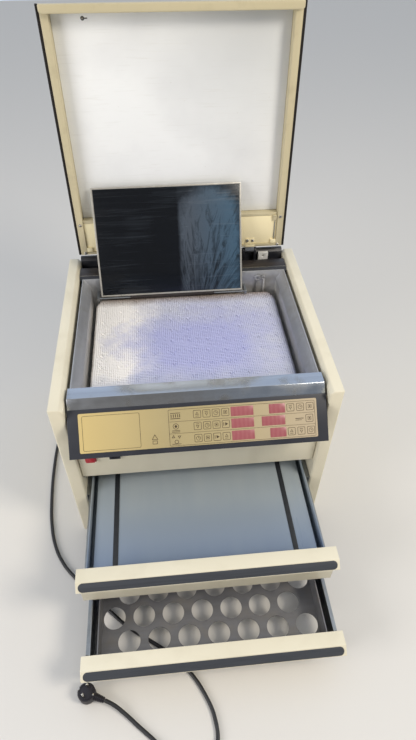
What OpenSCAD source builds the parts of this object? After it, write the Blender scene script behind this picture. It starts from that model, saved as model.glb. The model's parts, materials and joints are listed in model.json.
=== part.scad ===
/* [Cabinet] */
// Width over both side panels
cabinet_w = 590; // [560:1:700]
// Thickness of a side panel
panel_t = 30; // [20:1:36]
// Depth of the side panels
panel_d = 527; // [520:1:600]
// Height of the side panels above the floor
panel_h = 455; // [450:1:520]
// Thickness of the rear panel
rear_t = 12; // [3:1:18]
// Thickness of the front panel under the control housing
apron_t = 12; // [6:1:12]
// How far the front panel stands behind the front edges of the side panels
apron_setback = 9; // [6:1:14]
// Thickness of the sheet decks
deck_t = 2; // [1.5:0.5:4]

/* [Control housing] */
// How far the sloped control face stands out in front of the side panels
fascia_reach = 53; // [40:1:70]
// Height of the sloped control face, measured upright
fascia_rise = 70; // [60:1:80]
// Gap between the control housing and a side panel
fascia_gap = 3; // [2:0.5:10]
// Border beside each end of the keypad label
label_edge = 22; // [12:1:50]
// Slope length of the keypad label
label_len = 79; // [60:1:84]
// Thickness of the keypad label
label_t = 1.2; // [0.8:0.1:2]

/* [Basin] */
// Depth of the basin below the rim
basin_depth = 120; // [100:1:124]
// Gap between the basin and a side panel
basin_gap = 7.5; // [5:0.5:12]
// Width of the sloped flange around the basin
flange_w = 20; // [14:1:26]
// Drop of the sloped flange
flange_drop = 21; // [14:1:28]
// Width of the steep flange along the basin's rear
rear_flange_w = 5; // [4:1:12]
// Thickness of the basin sheet
basin_t = 2; // [1.5:0.5:3]
// Width of the flat front rim
rim_w = 29; // [22:1:36]
// Distance of the rim's front edge behind the front edges of the side panels
rim_setback = 30; // [26:1:34]
// Room for the drive and the hinges behind the basin
rear_room = 91; // [88:1:96]

/* [Brush] */
// Gap between the bristle bed and the basin's side walls
brush_gap = 8.5; // [6.5:0.5:30]
// Gap between the bristle bed and the basin's rear wall
brush_rear_gap = 12; // [8:1:40]
// Corner radius of the bristle bed
brush_r = 28; // [10:1:40]
// Length of the bristles
bristle_h = 26; // [15:1:40]
// Drop of the bristle tips below the rim
brush_drop = 55; // [40:1:60]
// Thickness of the brush board
board_t = 20; // [12:1:24]
// Distance between the sunk tufts
dimple_pitch = 40; // [30:1:60]

/* [Lid] */
// Height of the hinge axis above the floor
hinge_z = 470; // [468:1:480]
// Distance of the hinge axis in front of the rear edges of the side panels
hinge_setback = 19; // [16:1:22]
// Angle by which the open lid leans back
lid_lean = 3.64; // [0:0.01:8]
// Length from the hinge axis to the free end of the lid
lid_len = 546; // [530:1:560]
// Distance from the hinge axis to the lid's rear edge
lid_start = 11.5; // [11.5:0.5:20]
// Depth of the lid from its rim to its outer skin
lid_depth = 55; // [45:1:70]
// Drop of the lid's rim below the hinge axis, lid closed
lid_drop = 8.7; // [5:0.1:9]
// How much the lid stands back from the outer side of a side panel
lid_inset = 31; // [20:1:45]
// Thickness of the dark trims on the lid's sides
trim_t = 6; // [4:1:8]
// Width of the lid's side flanges
lid_flange = 16; // [12:1:24]
// Depth of the white liner behind the lid's rim
liner_recess = 22; // [18:1:26]
// Width of the lid's front lip
lip_w = 16; // [10:1:24]
// How far the front lip stands proud of the lid's rim
lip_proud = 14; // [8:1:18]

/* [Plate carrier] */
// How much narrower than the brush the plate carrier is
carrier_margin = 99; // [80:1:160]
// Length of the plate carrier from its pivot
carrier_len = 266; // [200:1:270]
// Distance of the carrier's middle to the left of the cabinet's middle
carrier_offset = 33.5; // [0:0.5:40]
// Thickness of the plate carrier
carrier_t = 6; // [4:1:6]
// Angle by which the standing carrier leans back
carrier_lean = 24.6; // [20:0.1:24.6]
// Distance of the carrier's pivot in front of the basin's rear wall
pivot_setback = 25; // [24:1:31]
// Height of the carrier's pivot above the bristle tips
pivot_rise = 8; // [8:0.5:12]
// How much shorter than the carrier its pivot bar is
bar_margin = 145; // [100:1:200]

/* [Drawers] */
// How far the upper drawer is pulled out
upper_out = 198; // [0:1:220]
// How far the lower drawer is pulled out
lower_out = 324; // [0:1:330]
// Height of the upper drawer front's top above the floor
upper_top = 210; // [206:1:214]
// Height of the lower drawer front's top above the floor
lower_top = 96; // [92:1:98]
// Gap between a drawer front and a side panel
front_side_gap = 1; // [1:0.5:8]
// Depth of the flat top of a drawer front
front_flat = 28; // [22:1:36]
// Size of the sloped face of a drawer front, measured upright
front_slope = 15; // [10:1:18]
// Length of the upper drawer front's lower apron
upper_skirt = 103; // [95:1:104]
// Length of the lower drawer front's lower apron
lower_skirt = 72; // [66:1:78]
// Room for a slide beside the upper drawer
upper_slide_room = 12; // [11.5:0.5:18]
// Room for a slide beside the lower drawer
lower_slide_room = 15; // [14.5:0.5:20]
// Dark gap between a drawer's side and what it carries
drawer_gap = 11; // [8:0.5:14]
// Depth of a drawer body, front to back
drawer_d = 475; // [400:1:480]
// Gap that stays behind a closed drawer front
front_gap = 6; // [5:1:10]
// Height of the vacuum bed above the floor
bed_z = 155; // [150:1:160]
// Height of the perforated tray above the floor
tray_z = 40; // [36:1:50]
// Thickness of the drawers' sheet
sheet_t = 2; // [1.5:0.5:3]
// Diameter of a tray hole
hole_d = 47; // [20:1:49]
// Least distance between a tray hole's edge and the tray's side wall
hole_margin = 2.1; // [1:0.1:6]
// Distance between rows of tray holes
hole_pitch_y = 50.5; // [50:0.5:52]
// Number of holes in a row
holes_per_row = 7; // [3:1:7]
// Number of rows of holes
hole_rows = 8; // [4:1:8]

/* [Slides] */
// Gap between a drawer's side and the channel beside it
channel_gap = 1.5; // [1:0.5:3]
// Height of a drawer slide's channel
slide_h = 32; // [24:1:34]
// Running clearance inside a slide
slide_gap = 0.4; // [0.3:0.1:0.6]

/* [Rear and cable] */
// Outer diameter of the drain spigot
drain_d = 25; // [20:1:32]
// Length of the drain spigot
drain_len = 40; // [25:1:50]
// Diameter of the mains cable
cable_d = 8; // [6:0.5:9]

/* [Hidden] */
$fn = 48;
eps = 0.01;
half_w = cabinet_w / 2;
inner_half = half_w - panel_t;
rim_z = panel_h;
brush_z = rim_z - brush_drop;
basin_floor = rim_z - basin_depth;
basin_rear = panel_d - rear_room;
hinge_y = panel_d - hinge_setback;
pivot_y = basin_rear - pivot_setback;
fascia_half_w = inner_half - fascia_gap;
label_half_w = fascia_half_w - label_edge;
lid_half_w = half_w - lid_inset;
front_half_w = inner_half - front_side_gap;
upper_half = inner_half - upper_slide_room;
lower_half = inner_half - lower_slide_room;
lamp_rise = 15;
lamp_z = upper_top + lamp_rise;
lid_w_top = lid_depth - lid_drop;
lid_slant = 25;
front_d = front_flat + front_slope;
upper_back = -front_gap - upper_out;
lower_back = -front_gap - lower_out;
front_reach = -min(upper_back, lower_back) + front_d;
lid_top_u = lid_len - lid_slant;
rear_reach = hinge_y + lid_top_u * sin(lid_lean) + lid_w_top * cos(lid_lean);
front_y = -(rear_reach - front_reach) / 2;
pivot_z = brush_z + pivot_rise;
gap = 0.3;

// Moves a piece from the cabinet's own front plane to the part's origin
module placed() {
    translate([0, front_y, 0]) children();
}

// Box between two corners
module box(low, high) {
    translate(low) cube(high - low);
}

// Extrudes a depth-and-height outline across the width
module across(half, points) {
    translate([-half, 0, 0]) rotate([90, 0, 90]) linear_extrude(2 * half) polygon(points);
}

// Extrudes a width-and-height outline from one depth to another
module along(y0, y1, points) {
    translate([0, y1, 0]) rotate([90, 0, 0]) linear_extrude(y1 - y0) polygon(points);
}

// Flat rectangle with round corners
module rounded_rect(x0, x1, y0, y1, r) {
    translate([x0 + r, y0]) square([x1 - x0 - 2 * r, y1 - y0]);
    translate([x0, y0 + r]) square([x1 - x0, y1 - y0 - 2 * r]);
    for (x = [x0 + r, x1 - r], y = [y0 + r, y1 - r]) translate([x, y]) circle(r);
}

// Side panels with rounded front and rear edges, bevelled along the inner top edge
bevel = 8;
module side_panel() {
    edge_r = 4;
    difference() {
        linear_extrude(panel_h) rounded_rect(inner_half, half_w, 0, panel_d, edge_r);
        along(-1, panel_d + 1, [[inner_half - 1, panel_h - bevel - 1],
            [inner_half - 1, panel_h + 1], [inner_half + bevel + 1, panel_h + 1]]);
    }
}
module left_panel() color("#ede6cc") mirror([1, 0, 0]) side_panel();
module right_panel() color("#ede6cc") side_panel();

// Rear panel between the side panels, with a row of cooling slots
rear_y = panel_d - rear_t;
rear_z0 = 30;
rear_z1 = panel_h - 7;
slot_count = 5;
slot_w = 8;
slot_h = 70;
slot_z = 250;
module rear_panel() color("#d8d2ba") difference() {
    box([-inner_half, rear_y, rear_z0], [inner_half, panel_d, rear_z1]);
    for (i = [0:slot_count - 1])
        translate([(i - (slot_count - 1) / 2) * 3 * slot_w - slot_w / 2, rear_y - 1, slot_z])
            cube([slot_w, rear_t + 2, slot_h]);
}

// Cross tie that joins the side panels at the floor, under the rear panel
tie_d = 40;
module floor_tie() color("#4a4c50")
    box([-inner_half, panel_d - tie_d, 0], [inner_half, panel_d, rear_z0]);

// Sheet deck between the two drawer bays
deck_z = lower_top + 8;
deck_y0 = 12;
module middle_deck() color("#8c9092")
    box([-inner_half, deck_y0, deck_z], [inner_half, rear_y, deck_z + deck_t]);

// Downward-open housing of the exposure lamps, which carries the basin
lamp_y0 = apron_setback + apron_t;
lamp_overhang = 34;
lamp_y1 = basin_rear + lamp_overhang;
lamp_wall = 3;
module lamp_housing() color("#7f8488") difference() {
    box([-inner_half, lamp_y0, lamp_z], [inner_half, lamp_y1, basin_floor - basin_t]);
    box([-inner_half + lamp_wall, lamp_y0 + lamp_wall, lamp_z - 1],
        [inner_half - lamp_wall, lamp_y1 - lamp_wall, basin_floor - basin_t - lamp_wall]);
}

// Row of tubular exposure lamps held in the housing's side walls
tube_d = 26;
tube_count = 8;
tube_rise = 45;
tube_margin = 30;
cap_len = 18;
cap_d = tube_d + 6;
module lamp_tubes() color("#dfe4ea") {
    reach = inner_half - lamp_wall;
    pitch = (lamp_y1 - lamp_y0 - 2 * tube_margin) / (tube_count - 1);
    for (i = [0:tube_count - 1])
        translate([-reach, lamp_y0 + tube_margin + i * pitch, lamp_z + tube_rise])
            rotate([0, 90, 0]) {
                cylinder(h = 2 * reach, d = tube_d);
                cylinder(h = cap_len, d = cap_d);
                translate([0, 0, 2 * reach - cap_len]) cylinder(h = cap_len, d = cap_d);
            }
}

// Front panel between the side panels, under the control housing
apron_gap = 1.6;
apron_clear = 7;
apron_z0 = upper_top + apron_clear;
rim_slope_d = 15;
rim_slope_h = 18;
fascia_top = rim_z - rim_slope_h;
apron_z1 = fascia_top - apron_clear;
module apron() color("#e6dfc4")
    box([-inner_half + apron_gap, apron_setback, apron_z0],
        [inner_half - apron_gap, apron_setback + apron_t, apron_z1]);

// Control housing: a folded wedge with its face at 45 degrees
face_y = rim_setback - rim_slope_d;
face_z0 = fascia_top - fascia_rise;
chin_d = 5;
chin_h = 6;
keel_h = 16;
module control_housing() color("#3a3b46") across(fascia_half_w, [
    [face_y, fascia_top], [-fascia_reach, face_z0], [-fascia_reach + chin_d, face_z0 - chin_h],
    [apron_setback, face_z0 - keel_h], [apron_setback, apron_z1],
    [lamp_y0, apron_z1], [lamp_y0, fascia_top]]);

// Keypad label on the sloped face
face_len = norm([face_y + fascia_reach, fascia_rise]);
face_angle = atan2(fascia_rise, face_y + fascia_reach);
label_rise = 1.5;
module on_face() {
    translate([0, -fascia_reach, face_z0]) rotate([face_angle, 0, 0])
        translate([0, face_len / 2 + label_rise, 0]) children();
}
module keypad_label() color("#d6c48e") on_face() linear_extrude(label_t)
    rounded_rect(-label_half_w, label_half_w, -label_len / 2, label_len / 2, 3);

// Rocker switch and small socket on the front panel
switch_z = face_z0 - 79;
switch_edge = 28;
switch_w = 24;
switch_h = 32;
bezel_t = 2;
bezel_w = 2.5;
rocker_reach = 5;
module main_switch() color("#c0303c") translate([-inner_half + switch_edge, apron_setback, switch_z]) {
    box([-switch_w / 2, -bezel_t, -switch_h / 2], [switch_w / 2, 0, switch_h / 2]);
    across(switch_w / 2 - bezel_w, [
        [-bezel_t, bezel_w - switch_h / 2], [-bezel_t - rocker_reach, bezel_w + 1.5 - switch_h / 2],
        [-2 * bezel_t, switch_h / 2 - bezel_w - 1.5], [-bezel_t, switch_h / 2 - bezel_w]]);
}
socket_edge = 81;
socket_w = 24;
socket_rise = 3;
socket_wall = 6;
module side_socket() color("#1c1c1e")
    translate([-inner_half + socket_edge, apron_setback, switch_z + socket_rise]) difference() {
        box([-socket_w / 2, -2 * bezel_t, -socket_w / 2], [socket_w / 2, 0, socket_w / 2]);
        box([socket_wall - socket_w / 2, -2 * bezel_t - 1, socket_wall - socket_w / 2],
            [socket_w / 2 - socket_wall, -bezel_t, socket_w / 2 - socket_wall]);
    }

// Folded basin with a sloped flange that is mitred at the rear corners
basin_half = inner_half - basin_gap;
wall_half = basin_half - flange_w;
basin_y0 = rim_setback + rim_w;
flange_sink = 8;
flange_z = rim_z - flange_sink;
function width_outline(t, top) = [
    [-wall_half - t, basin_floor - t], [-wall_half - t, flange_z - flange_drop],
    [-basin_half - t + basin_t, flange_z - t + basin_t], [-basin_half - t + basin_t, top],
    [basin_half + t - basin_t, top], [basin_half + t - basin_t, flange_z - t + basin_t],
    [wall_half + t, flange_z - flange_drop], [wall_half + t, basin_floor - t]];
function depth_outline(t, top) = [
    [basin_y0 + basin_t - t, basin_floor - t], [basin_y0 + basin_t - t, top],
    [basin_rear + rear_flange_w + t - basin_t, top],
    [basin_rear + rear_flange_w + t - basin_t, flange_z - t + basin_t],
    [basin_rear + t, flange_z - flange_drop], [basin_rear + t, basin_floor - t]];
module basin_form(t, top) {
    intersection() {
        along(basin_y0 - 1, basin_rear + rear_flange_w + 1, width_outline(t, top));
        across(basin_half + 1, depth_outline(t, top));
    }
}
module basin() color("#a9adb2") difference() {
    basin_form(basin_t, flange_z + 1.5);
    basin_form(0, flange_z + 4);
}

// Flat front rim, folded down over the control housing and into the basin
rim_fold = 27;
rim_shift = basin_t * norm([rim_slope_d, rim_slope_h]) / rim_slope_h;
module front_rim() color("#b4b8bd") across(fascia_half_w - 2, [
    [face_y, fascia_top], [rim_setback, rim_z], [basin_y0, rim_z], [basin_y0, rim_z - rim_fold],
    [basin_y0 - basin_t, rim_z - rim_fold], [basin_y0 - basin_t, rim_z - basin_t],
    [rim_setback + rim_shift - basin_t * rim_slope_d / rim_slope_h, rim_z - basin_t],
    [face_y + rim_shift, fascia_top]]);

// Brush board on four drive posts
brush_front_gap = 5;
brush_half_w = wall_half - brush_gap;
brush_y0 = basin_y0 + basin_t + brush_front_gap;
brush_y1 = basin_rear - brush_rear_gap;
board_inset = 8;
post_d = 34;
post_inset = 70;
module brush_board() color("#55606a") {
    board_z = brush_z - bristle_h - board_t;
    translate([0, 0, board_z]) linear_extrude(board_t)
        rounded_rect(-brush_half_w + board_inset, brush_half_w - board_inset,
            brush_y0 + board_inset, brush_y1 - board_inset, brush_r - board_inset);
    for (x = [-1, 1] * (brush_half_w - post_inset), y = [brush_y0 + post_inset, brush_y1 - post_inset])
        translate([x, y, basin_floor]) cylinder(h = board_z - basin_floor + eps, d = post_d);
}

// Flat bed of bristles with rows of sunk tufts
dimple_margin = 25;
dimple_d = 5;
dimple_h = 3;
module bristle_bed() color("#dcd8e6") difference() {
    translate([0, 0, brush_z - bristle_h]) linear_extrude(bristle_h)
        rounded_rect(-brush_half_w, brush_half_w, brush_y0, brush_y1, brush_r);
    nx = floor((brush_half_w - dimple_margin) / dimple_pitch);
    ny = floor(((brush_y1 - brush_y0) / 2 - dimple_margin) / dimple_pitch);
    for (i = [-nx:nx], j = [-ny:ny])
        translate([i * dimple_pitch, (brush_y0 + brush_y1) / 2 + j * dimple_pitch, brush_z - dimple_h])
            cylinder(h = dimple_h + 1, d = dimple_d, $fn = 16);
}

// Two spray nozzle rings with their feed pipes on the basin's rear wall
nozzle_edge = 49.5;
nozzle_drop = 24;
nozzle_pitch = 15;
nozzle_x = wall_half - nozzle_edge;
nozzle_z = rim_z - nozzle_drop;
ring_d = 17;
ring_bore = 9;
ring_t = 6;
pipe_d = 5;
module nozzle_ring(x, s) {
    translate([x, basin_rear, nozzle_z]) rotate([90, 0, 0]) difference() {
        cylinder(h = s * ring_t, d = s * ring_d);
        translate([0, 0, s * ring_t / 3]) cylinder(h = s * ring_t, d = s * ring_bore);
    }
}
module feed_pipe(x) {
    translate([x, basin_rear - ring_t / 2, basin_floor])
        cylinder(h = nozzle_z - ring_bore / 2 - basin_floor, d = pipe_d);
}
module spray_nozzle() color("#9aa0a4") {
    nozzle_ring(nozzle_x, 1);
    feed_pipe(nozzle_x - 0.7 * pipe_d);
    nozzle_ring(nozzle_x + nozzle_pitch, 0.7);
    feed_pipe(nozzle_x + nozzle_pitch + pipe_d / 2);
}

// Shelf behind the basin, with a sloped nose in front and a sunk well at the hinges
shelf_drop = 5;
shelf_h = 24;
well_d = 28;
well_h = 20;
nose_d = 10;
nose_h = 6;
shelf_z = rim_z - shelf_drop;
shelf_y0 = basin_rear + rear_flange_w + gap;
well_y0 = rear_y - well_d;
well_z = shelf_z - well_h;
module rear_shelf() color("#25262a") across(inner_half - gap, [
    [shelf_y0, shelf_z - shelf_h], [shelf_y0, shelf_z - nose_h], [shelf_y0 + nose_d, shelf_z],
    [well_y0, shelf_z], [well_y0, well_z], [rear_y, well_z], [rear_y, shelf_z - shelf_h]]);

// Dark rail on the rear panel's top, folded down over the well's rear side
rail_h = 13;
rail_t = 3;
rail_slope = 7;
module hinge_rail() color("#25262a") across(inner_half - gap, [
    [rear_y - rail_t, well_z], [rear_y, well_z], [rear_y, rear_z1], [panel_d, rear_z1],
    [panel_d, shelf_z + rail_h], [rear_y - rail_t + rail_slope, shelf_z + rail_h],
    [rear_y - rail_t, shelf_z + rail_h - rail_slope]]);

// Lid switch block with its plunger hole
switch_block_edge = 52;
switch_block_w = 26;
switch_block_d = 8;
switch_block_h = 30;
plunger_d = 7;
module lid_switch() color("#f0efe8") translate([inner_half - switch_block_edge, rear_y - rail_t, well_z])
    difference() {
        box([-switch_block_w / 2, -switch_block_d, 0], [switch_block_w / 2, 0, switch_block_h]);
        translate([0, -switch_block_d - 1, well_h]) rotate([-90, 0, 0])
            cylinder(h = switch_block_d - 2, d = plunger_d);
    }

// Hinge brackets with their fixed pins
hinge_edge = 90;
hinge_x = inner_half - hinge_edge;
knuckle_half = 11.5;
knuckle_gap = 0.5;
ear_t = 6;
ear_r = 6.5;
pin_r = 4;
pin_half = knuckle_half + knuckle_gap + ear_t;
module hinge_brackets() color("#8e9296") for (s = [-1, 1]) translate([s * hinge_x, 0, 0]) {
    for (e = [-1, 1]) translate([e * (pin_half - ear_t / 2), 0, 0])
        across(ear_t / 2, [[hinge_y - ear_r, well_z], [hinge_y - ear_r, hinge_z],
            [hinge_y, hinge_z + ear_r], [rear_y - rail_t, hinge_z], [rear_y - rail_t, well_z]]);
    translate([-pin_half, hinge_y, hinge_z]) rotate([0, 90, 0]) cylinder(h = 2 * pin_half, r = pin_r);
}

// Drawer slides: channels on the side panels, open inwards, and bars on the drawers
channel_y0 = 3;
channel_end = 27;
channel_web = 1.5;
upper_slide_drop = 19;
lower_slide_rise = 20;
upper_slide_z = bed_z - upper_slide_drop;
lower_slide_z = tray_z + lower_slide_rise;
module channel(z, room) {
    x0 = inner_half - room + channel_gap;
    for (s = [0, 1]) mirror([s, 0, 0]) along(channel_y0, panel_d - channel_end, [
        [inner_half, z - slide_h / 2], [inner_half, z + slide_h / 2],
        [x0, z + slide_h / 2], [x0, z + slide_h / 2 - channel_web],
        [inner_half - channel_web, z + slide_h / 2 - channel_web],
        [inner_half - channel_web, z - slide_h / 2 + channel_web],
        [x0, z - slide_h / 2 + channel_web], [x0, z - slide_h / 2]]);
}
bar_start = 8;
bar_side_gap = 6.5;
module runner(y0, z, room) {
    h = slide_h - 2 * channel_web - 2 * slide_gap;
    for (s = [0, 1]) mirror([s, 0, 0])
        box([inner_half - room, y0 + bar_start, z - h / 2],
            [inner_half - bar_side_gap, y0 + drawer_d, z + h / 2]);
}
module upper_channels() color("#b9bec3") channel(upper_slide_z, upper_slide_room);
module lower_channels() color("#b9bec3") channel(lower_slide_z, lower_slide_room);

// Lugs on the basin's rear wall that hold the plate carrier's pivot rod
rod_r = 2;
lug_t = 6;
lug_gap = 5;
lug_half_h = 5;
carrier_w = 2 * brush_half_w - carrier_margin;
carrier_mid = -carrier_offset;
rod_half = carrier_w / 2 + lug_gap + lug_t;
module carrier_lugs() color("#8e9296") {
    for (s = [-1, 1]) translate([carrier_mid + s * (rod_half - lug_t / 2), 0, 0])
        across(lug_t / 2, [[pivot_y - lug_t, pivot_z - lug_half_h], [pivot_y - lug_t, pivot_z + lug_half_h],
            [basin_rear, pivot_z + lug_half_h], [basin_rear, pivot_z - lug_half_h]]);
    translate([carrier_mid - rod_half, pivot_y, pivot_z]) rotate([0, 90, 0])
        cylinder(h = 2 * rod_half, r = rod_r);
}

// Cable gland with its tapered strain relief on the rear panel
gland_edge = 50;
gland_x = -inner_half + gland_edge;
gland_z = 110;
gland_d = 24;
gland_t = 5;
nut_d = 20;
nut_h = 12;
relief_d = 15;
relief_len = 30;
module cable_gland() color("#1c1c1e") translate([gland_x, panel_d, gland_z]) rotate([-90, 0, 0]) {
    cylinder(h = gland_t, d = gland_d);
    cylinder(h = nut_h, d = nut_d, $fn = 6);
    translate([0, 0, nut_h]) cylinder(h = relief_len - gap, d1 = relief_d, d2 = cable_d + 3);
}

// Drain spigot on the rear panel
drain_edge = 75;
drain_z = 100;
drain_wall = 2.5;
drain_flange = 8;
drain_flange_t = 4;
module drain_spigot() color("#9aa0a4") translate([inner_half - drain_edge, panel_d, drain_z])
    rotate([-90, 0, 0]) difference() {
        union() {
            cylinder(h = drain_flange_t, d = drain_d + 2 * drain_flange);
            cylinder(h = drain_len, d = drain_d);
        }
        translate([0, 0, drain_flange_t]) cylinder(h = drain_len, d = drain_d - 2 * drain_wall);
    }

// Lid, drawn closed and level, then turned open about the hinge axis
module lid_open() {
    translate([0, hinge_y, hinge_z]) rotate([-90 - lid_lean, 0, 0]) children();
}
shell_half = lid_half_w - trim_t;
window_half = shell_half - lid_flange;
lid_chamfer = 6;
lid_skin = 3;
liner_t = 4;
foot_flange = 6;
foot_recess = 4;
liner_z = liner_recess - lid_drop;
foot_y1 = -lid_start - foot_flange;
function lid_outline() = [
    [-lid_start, -lid_drop], [-lid_start, lid_w_top - lid_chamfer],
    [-lid_start - lid_chamfer, lid_w_top], [-lid_top_u, lid_w_top], [-lid_len, -lid_drop]];
module lid_shell() color("#f0e6c6") lid_open() difference() {
    across(shell_half, lid_outline());
    box([-window_half, -lid_len + lip_w, -lid_drop - 1], [window_half, foot_y1, liner_z + liner_t]);
    box([-window_half, -lid_len + lip_w + lid_slant, -lid_drop - 1],
        [window_half, foot_y1, lid_w_top - lid_skin]);
}
module lid_trims() color("#1b1815") lid_open() for (s = [0, 1]) mirror([s, 0, 0])
    translate([shell_half + trim_t / 2, 0, 0]) across(trim_t / 2, lid_outline());

// White liner, cream foot panel and the strip between them
foot_len = 76;
strip_w = 8;
strip_y1 = foot_y1 - foot_len;
module lid_liner() color("#eceeea") lid_open()
    box([-window_half + gap, -lid_len + lip_w + gap, liner_z],
        [window_half - gap, strip_y1 - strip_w - gap, liner_z + liner_t]);
module lid_foot_panel() color("#efe3bf") lid_open()
    box([-window_half + gap, strip_y1 + gap, foot_recess - lid_drop],
        [window_half - gap, foot_y1 - gap, foot_recess - lid_drop + lid_skin]);
module lid_cross_strip() color("#f3e9c9") lid_open()
    box([-window_half + gap, strip_y1 - strip_w, foot_recess - lid_drop],
        [window_half - gap, strip_y1, liner_z + liner_t]);

// Front lip of the lid, with rounded inner corners
lip_r = 6;
module lid_lip() color("#f3e7c3") lid_open() translate([0, 0, -lid_drop - lip_proud])
    linear_extrude(lip_proud) union() {
        translate([-shell_half + 1, -lid_len]) square([2 * shell_half - 2, lip_w - lip_r]);
        rounded_rect(-shell_half + 1, shell_half - 1, -lid_len, -lid_len + lip_w, lip_r);
    }

// Hinge knuckles on the lid's rear edge
knuckle_r = 8;
knuckle_h = 24;
pin_gap = 0.1;
module lid_knuckles() color("#8e9296") lid_open() for (s = [-1, 1]) translate([s * hinge_x, 0, 0])
    difference() {
        union() {
            rotate([0, 90, 0]) cylinder(h = 2 * knuckle_half, r = knuckle_r, center = true);
            box([-knuckle_half, -lid_start, 0.5 - knuckle_r], [knuckle_half, 0, knuckle_h]);
        }
        rotate([0, 90, 0]) cylinder(h = 2 * knuckle_half + 2, r = pin_r + pin_gap, center = true);
    }

// Plate carrier, drawn upright at its pivot, then leaned back
module carrier_place() {
    translate([carrier_mid, pivot_y, pivot_z]) rotate([-carrier_lean, 0, 0]) children();
}
bar_r = 4;
bar_len = carrier_w - bar_margin;
frame_w = 4;
module carrier_frame() color("#d9d8cf") carrier_place() difference() {
    box([-carrier_w / 2, -carrier_t / 2, bar_r + gap], [carrier_w / 2, carrier_t / 2, carrier_len]);
    box([-carrier_w / 2 + frame_w, -carrier_t / 2 - 1, bar_r + gap + frame_w],
        [carrier_w / 2 - frame_w, 0, carrier_len - frame_w]);
}
module carrier_sheet() color("#1e222c") carrier_place()
    box([-carrier_w / 2 + frame_w + gap, -carrier_t / 2, bar_r + 2 * gap + frame_w],
        [carrier_w / 2 - frame_w - gap, 0, carrier_len - frame_w - gap]);
module carrier_bar() color("#3c2c24") carrier_place() difference() {
    rotate([0, 90, 0]) cylinder(h = bar_len, r = bar_r, center = true);
    rotate([0, 90, 0]) cylinder(h = bar_len + 2, r = rod_r + pin_gap, center = true);
}

// Drawer front: flat top, face sloped at 45 degrees, recessed apron below
skirt_t = 3;
skirt_y = front_flat - 7;
nose_t = 1;
front_h = 22;
module drawer_front(back, top, skirt) translate([0, back, 0]) across(front_half_w, [
    [0, top], [-front_flat, top], [-front_d, top - front_slope],
    [-front_d, top - front_slope - nose_t], [-skirt_y, top - front_slope - nose_t],
    [-skirt_y, top - skirt], [-skirt_y + skirt_t, top - skirt],
    [-skirt_y + skirt_t, top - front_h], [0, top - front_h]]);
inlay_t = 1;
inlay_edge = 1;
inlay_end = 5;
module front_inlay(back, top) {
    slope_len = front_slope * sqrt(2);
    translate([0, back - front_flat, top]) rotate([45, 0, 0])
        linear_extrude(inlay_t)
            rounded_rect(-front_half_w + inlay_end, front_half_w - inlay_end, inlay_edge - slope_len,
                -2 * inlay_edge, (slope_len - 3 * inlay_edge) / 2 - 0.1);
}
module upper_front() color("#ece5ca") drawer_front(upper_back, upper_top, upper_skirt);
module lower_front() color("#ece5ca") drawer_front(lower_back, lower_top, lower_skirt);
module upper_inlay() color("#3d3f48") front_inlay(upper_back, upper_top);
module lower_inlay() color("#3d3f48") front_inlay(lower_back, lower_top);

// Upper drawer body: folded pan with a raised vacuum bed and two seals
upper_y0 = upper_back - skirt_y + skirt_t;
pan_rise = 5;
pan_rim = 6;
pan_z = upper_top - upper_skirt + pan_rise;
bed_half = upper_half - sheet_t - drawer_gap;
bed_bevel_w = 16;
bed_bevel_h = 4;
bed_wall = 6;
bed_t = 8;
module upper_pan() color("#9aa3aa") difference() {
    box([-upper_half, upper_y0, pan_z], [upper_half, upper_y0 + drawer_d, bed_z + pan_rim]);
    box([-upper_half + sheet_t, upper_y0 + sheet_t, pan_z + sheet_t],
        [upper_half - sheet_t, upper_y0 + drawer_d - sheet_t, bed_z + pan_rim + 1]);
}
module vacuum_bed() color("#8c9ba3") difference() {
    along(upper_y0 + sheet_t, upper_y0 + drawer_d - sheet_t, [
        [-bed_half, pan_z + sheet_t], [-bed_half, bed_z - bed_bevel_h],
        [-bed_half + bed_bevel_w, bed_z], [bed_half - bed_bevel_w, bed_z],
        [bed_half, bed_z - bed_bevel_h], [bed_half, pan_z + sheet_t]]);
    box([-bed_half + bed_wall, upper_y0 + sheet_t + bed_wall, pan_z + sheet_t - 1],
        [bed_half - bed_wall, upper_y0 + drawer_d - sheet_t - bed_wall, bed_z - bed_t]);
}
seal_edge = 46.5;
seal_x = bed_half - seal_edge;
seal_w = 11;
seal_t = 1.2;
module bed_seals() color("#22262b") for (s = [-1, 1])
    box([s * seal_x - seal_w / 2, upper_y0 + sheet_t, bed_z],
        [s * seal_x + seal_w / 2, upper_y0 + drawer_d - sheet_t, bed_z + seal_t]);
module upper_runners() color("#a6adb3") runner(upper_y0, upper_slide_z, upper_slide_room);

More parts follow.
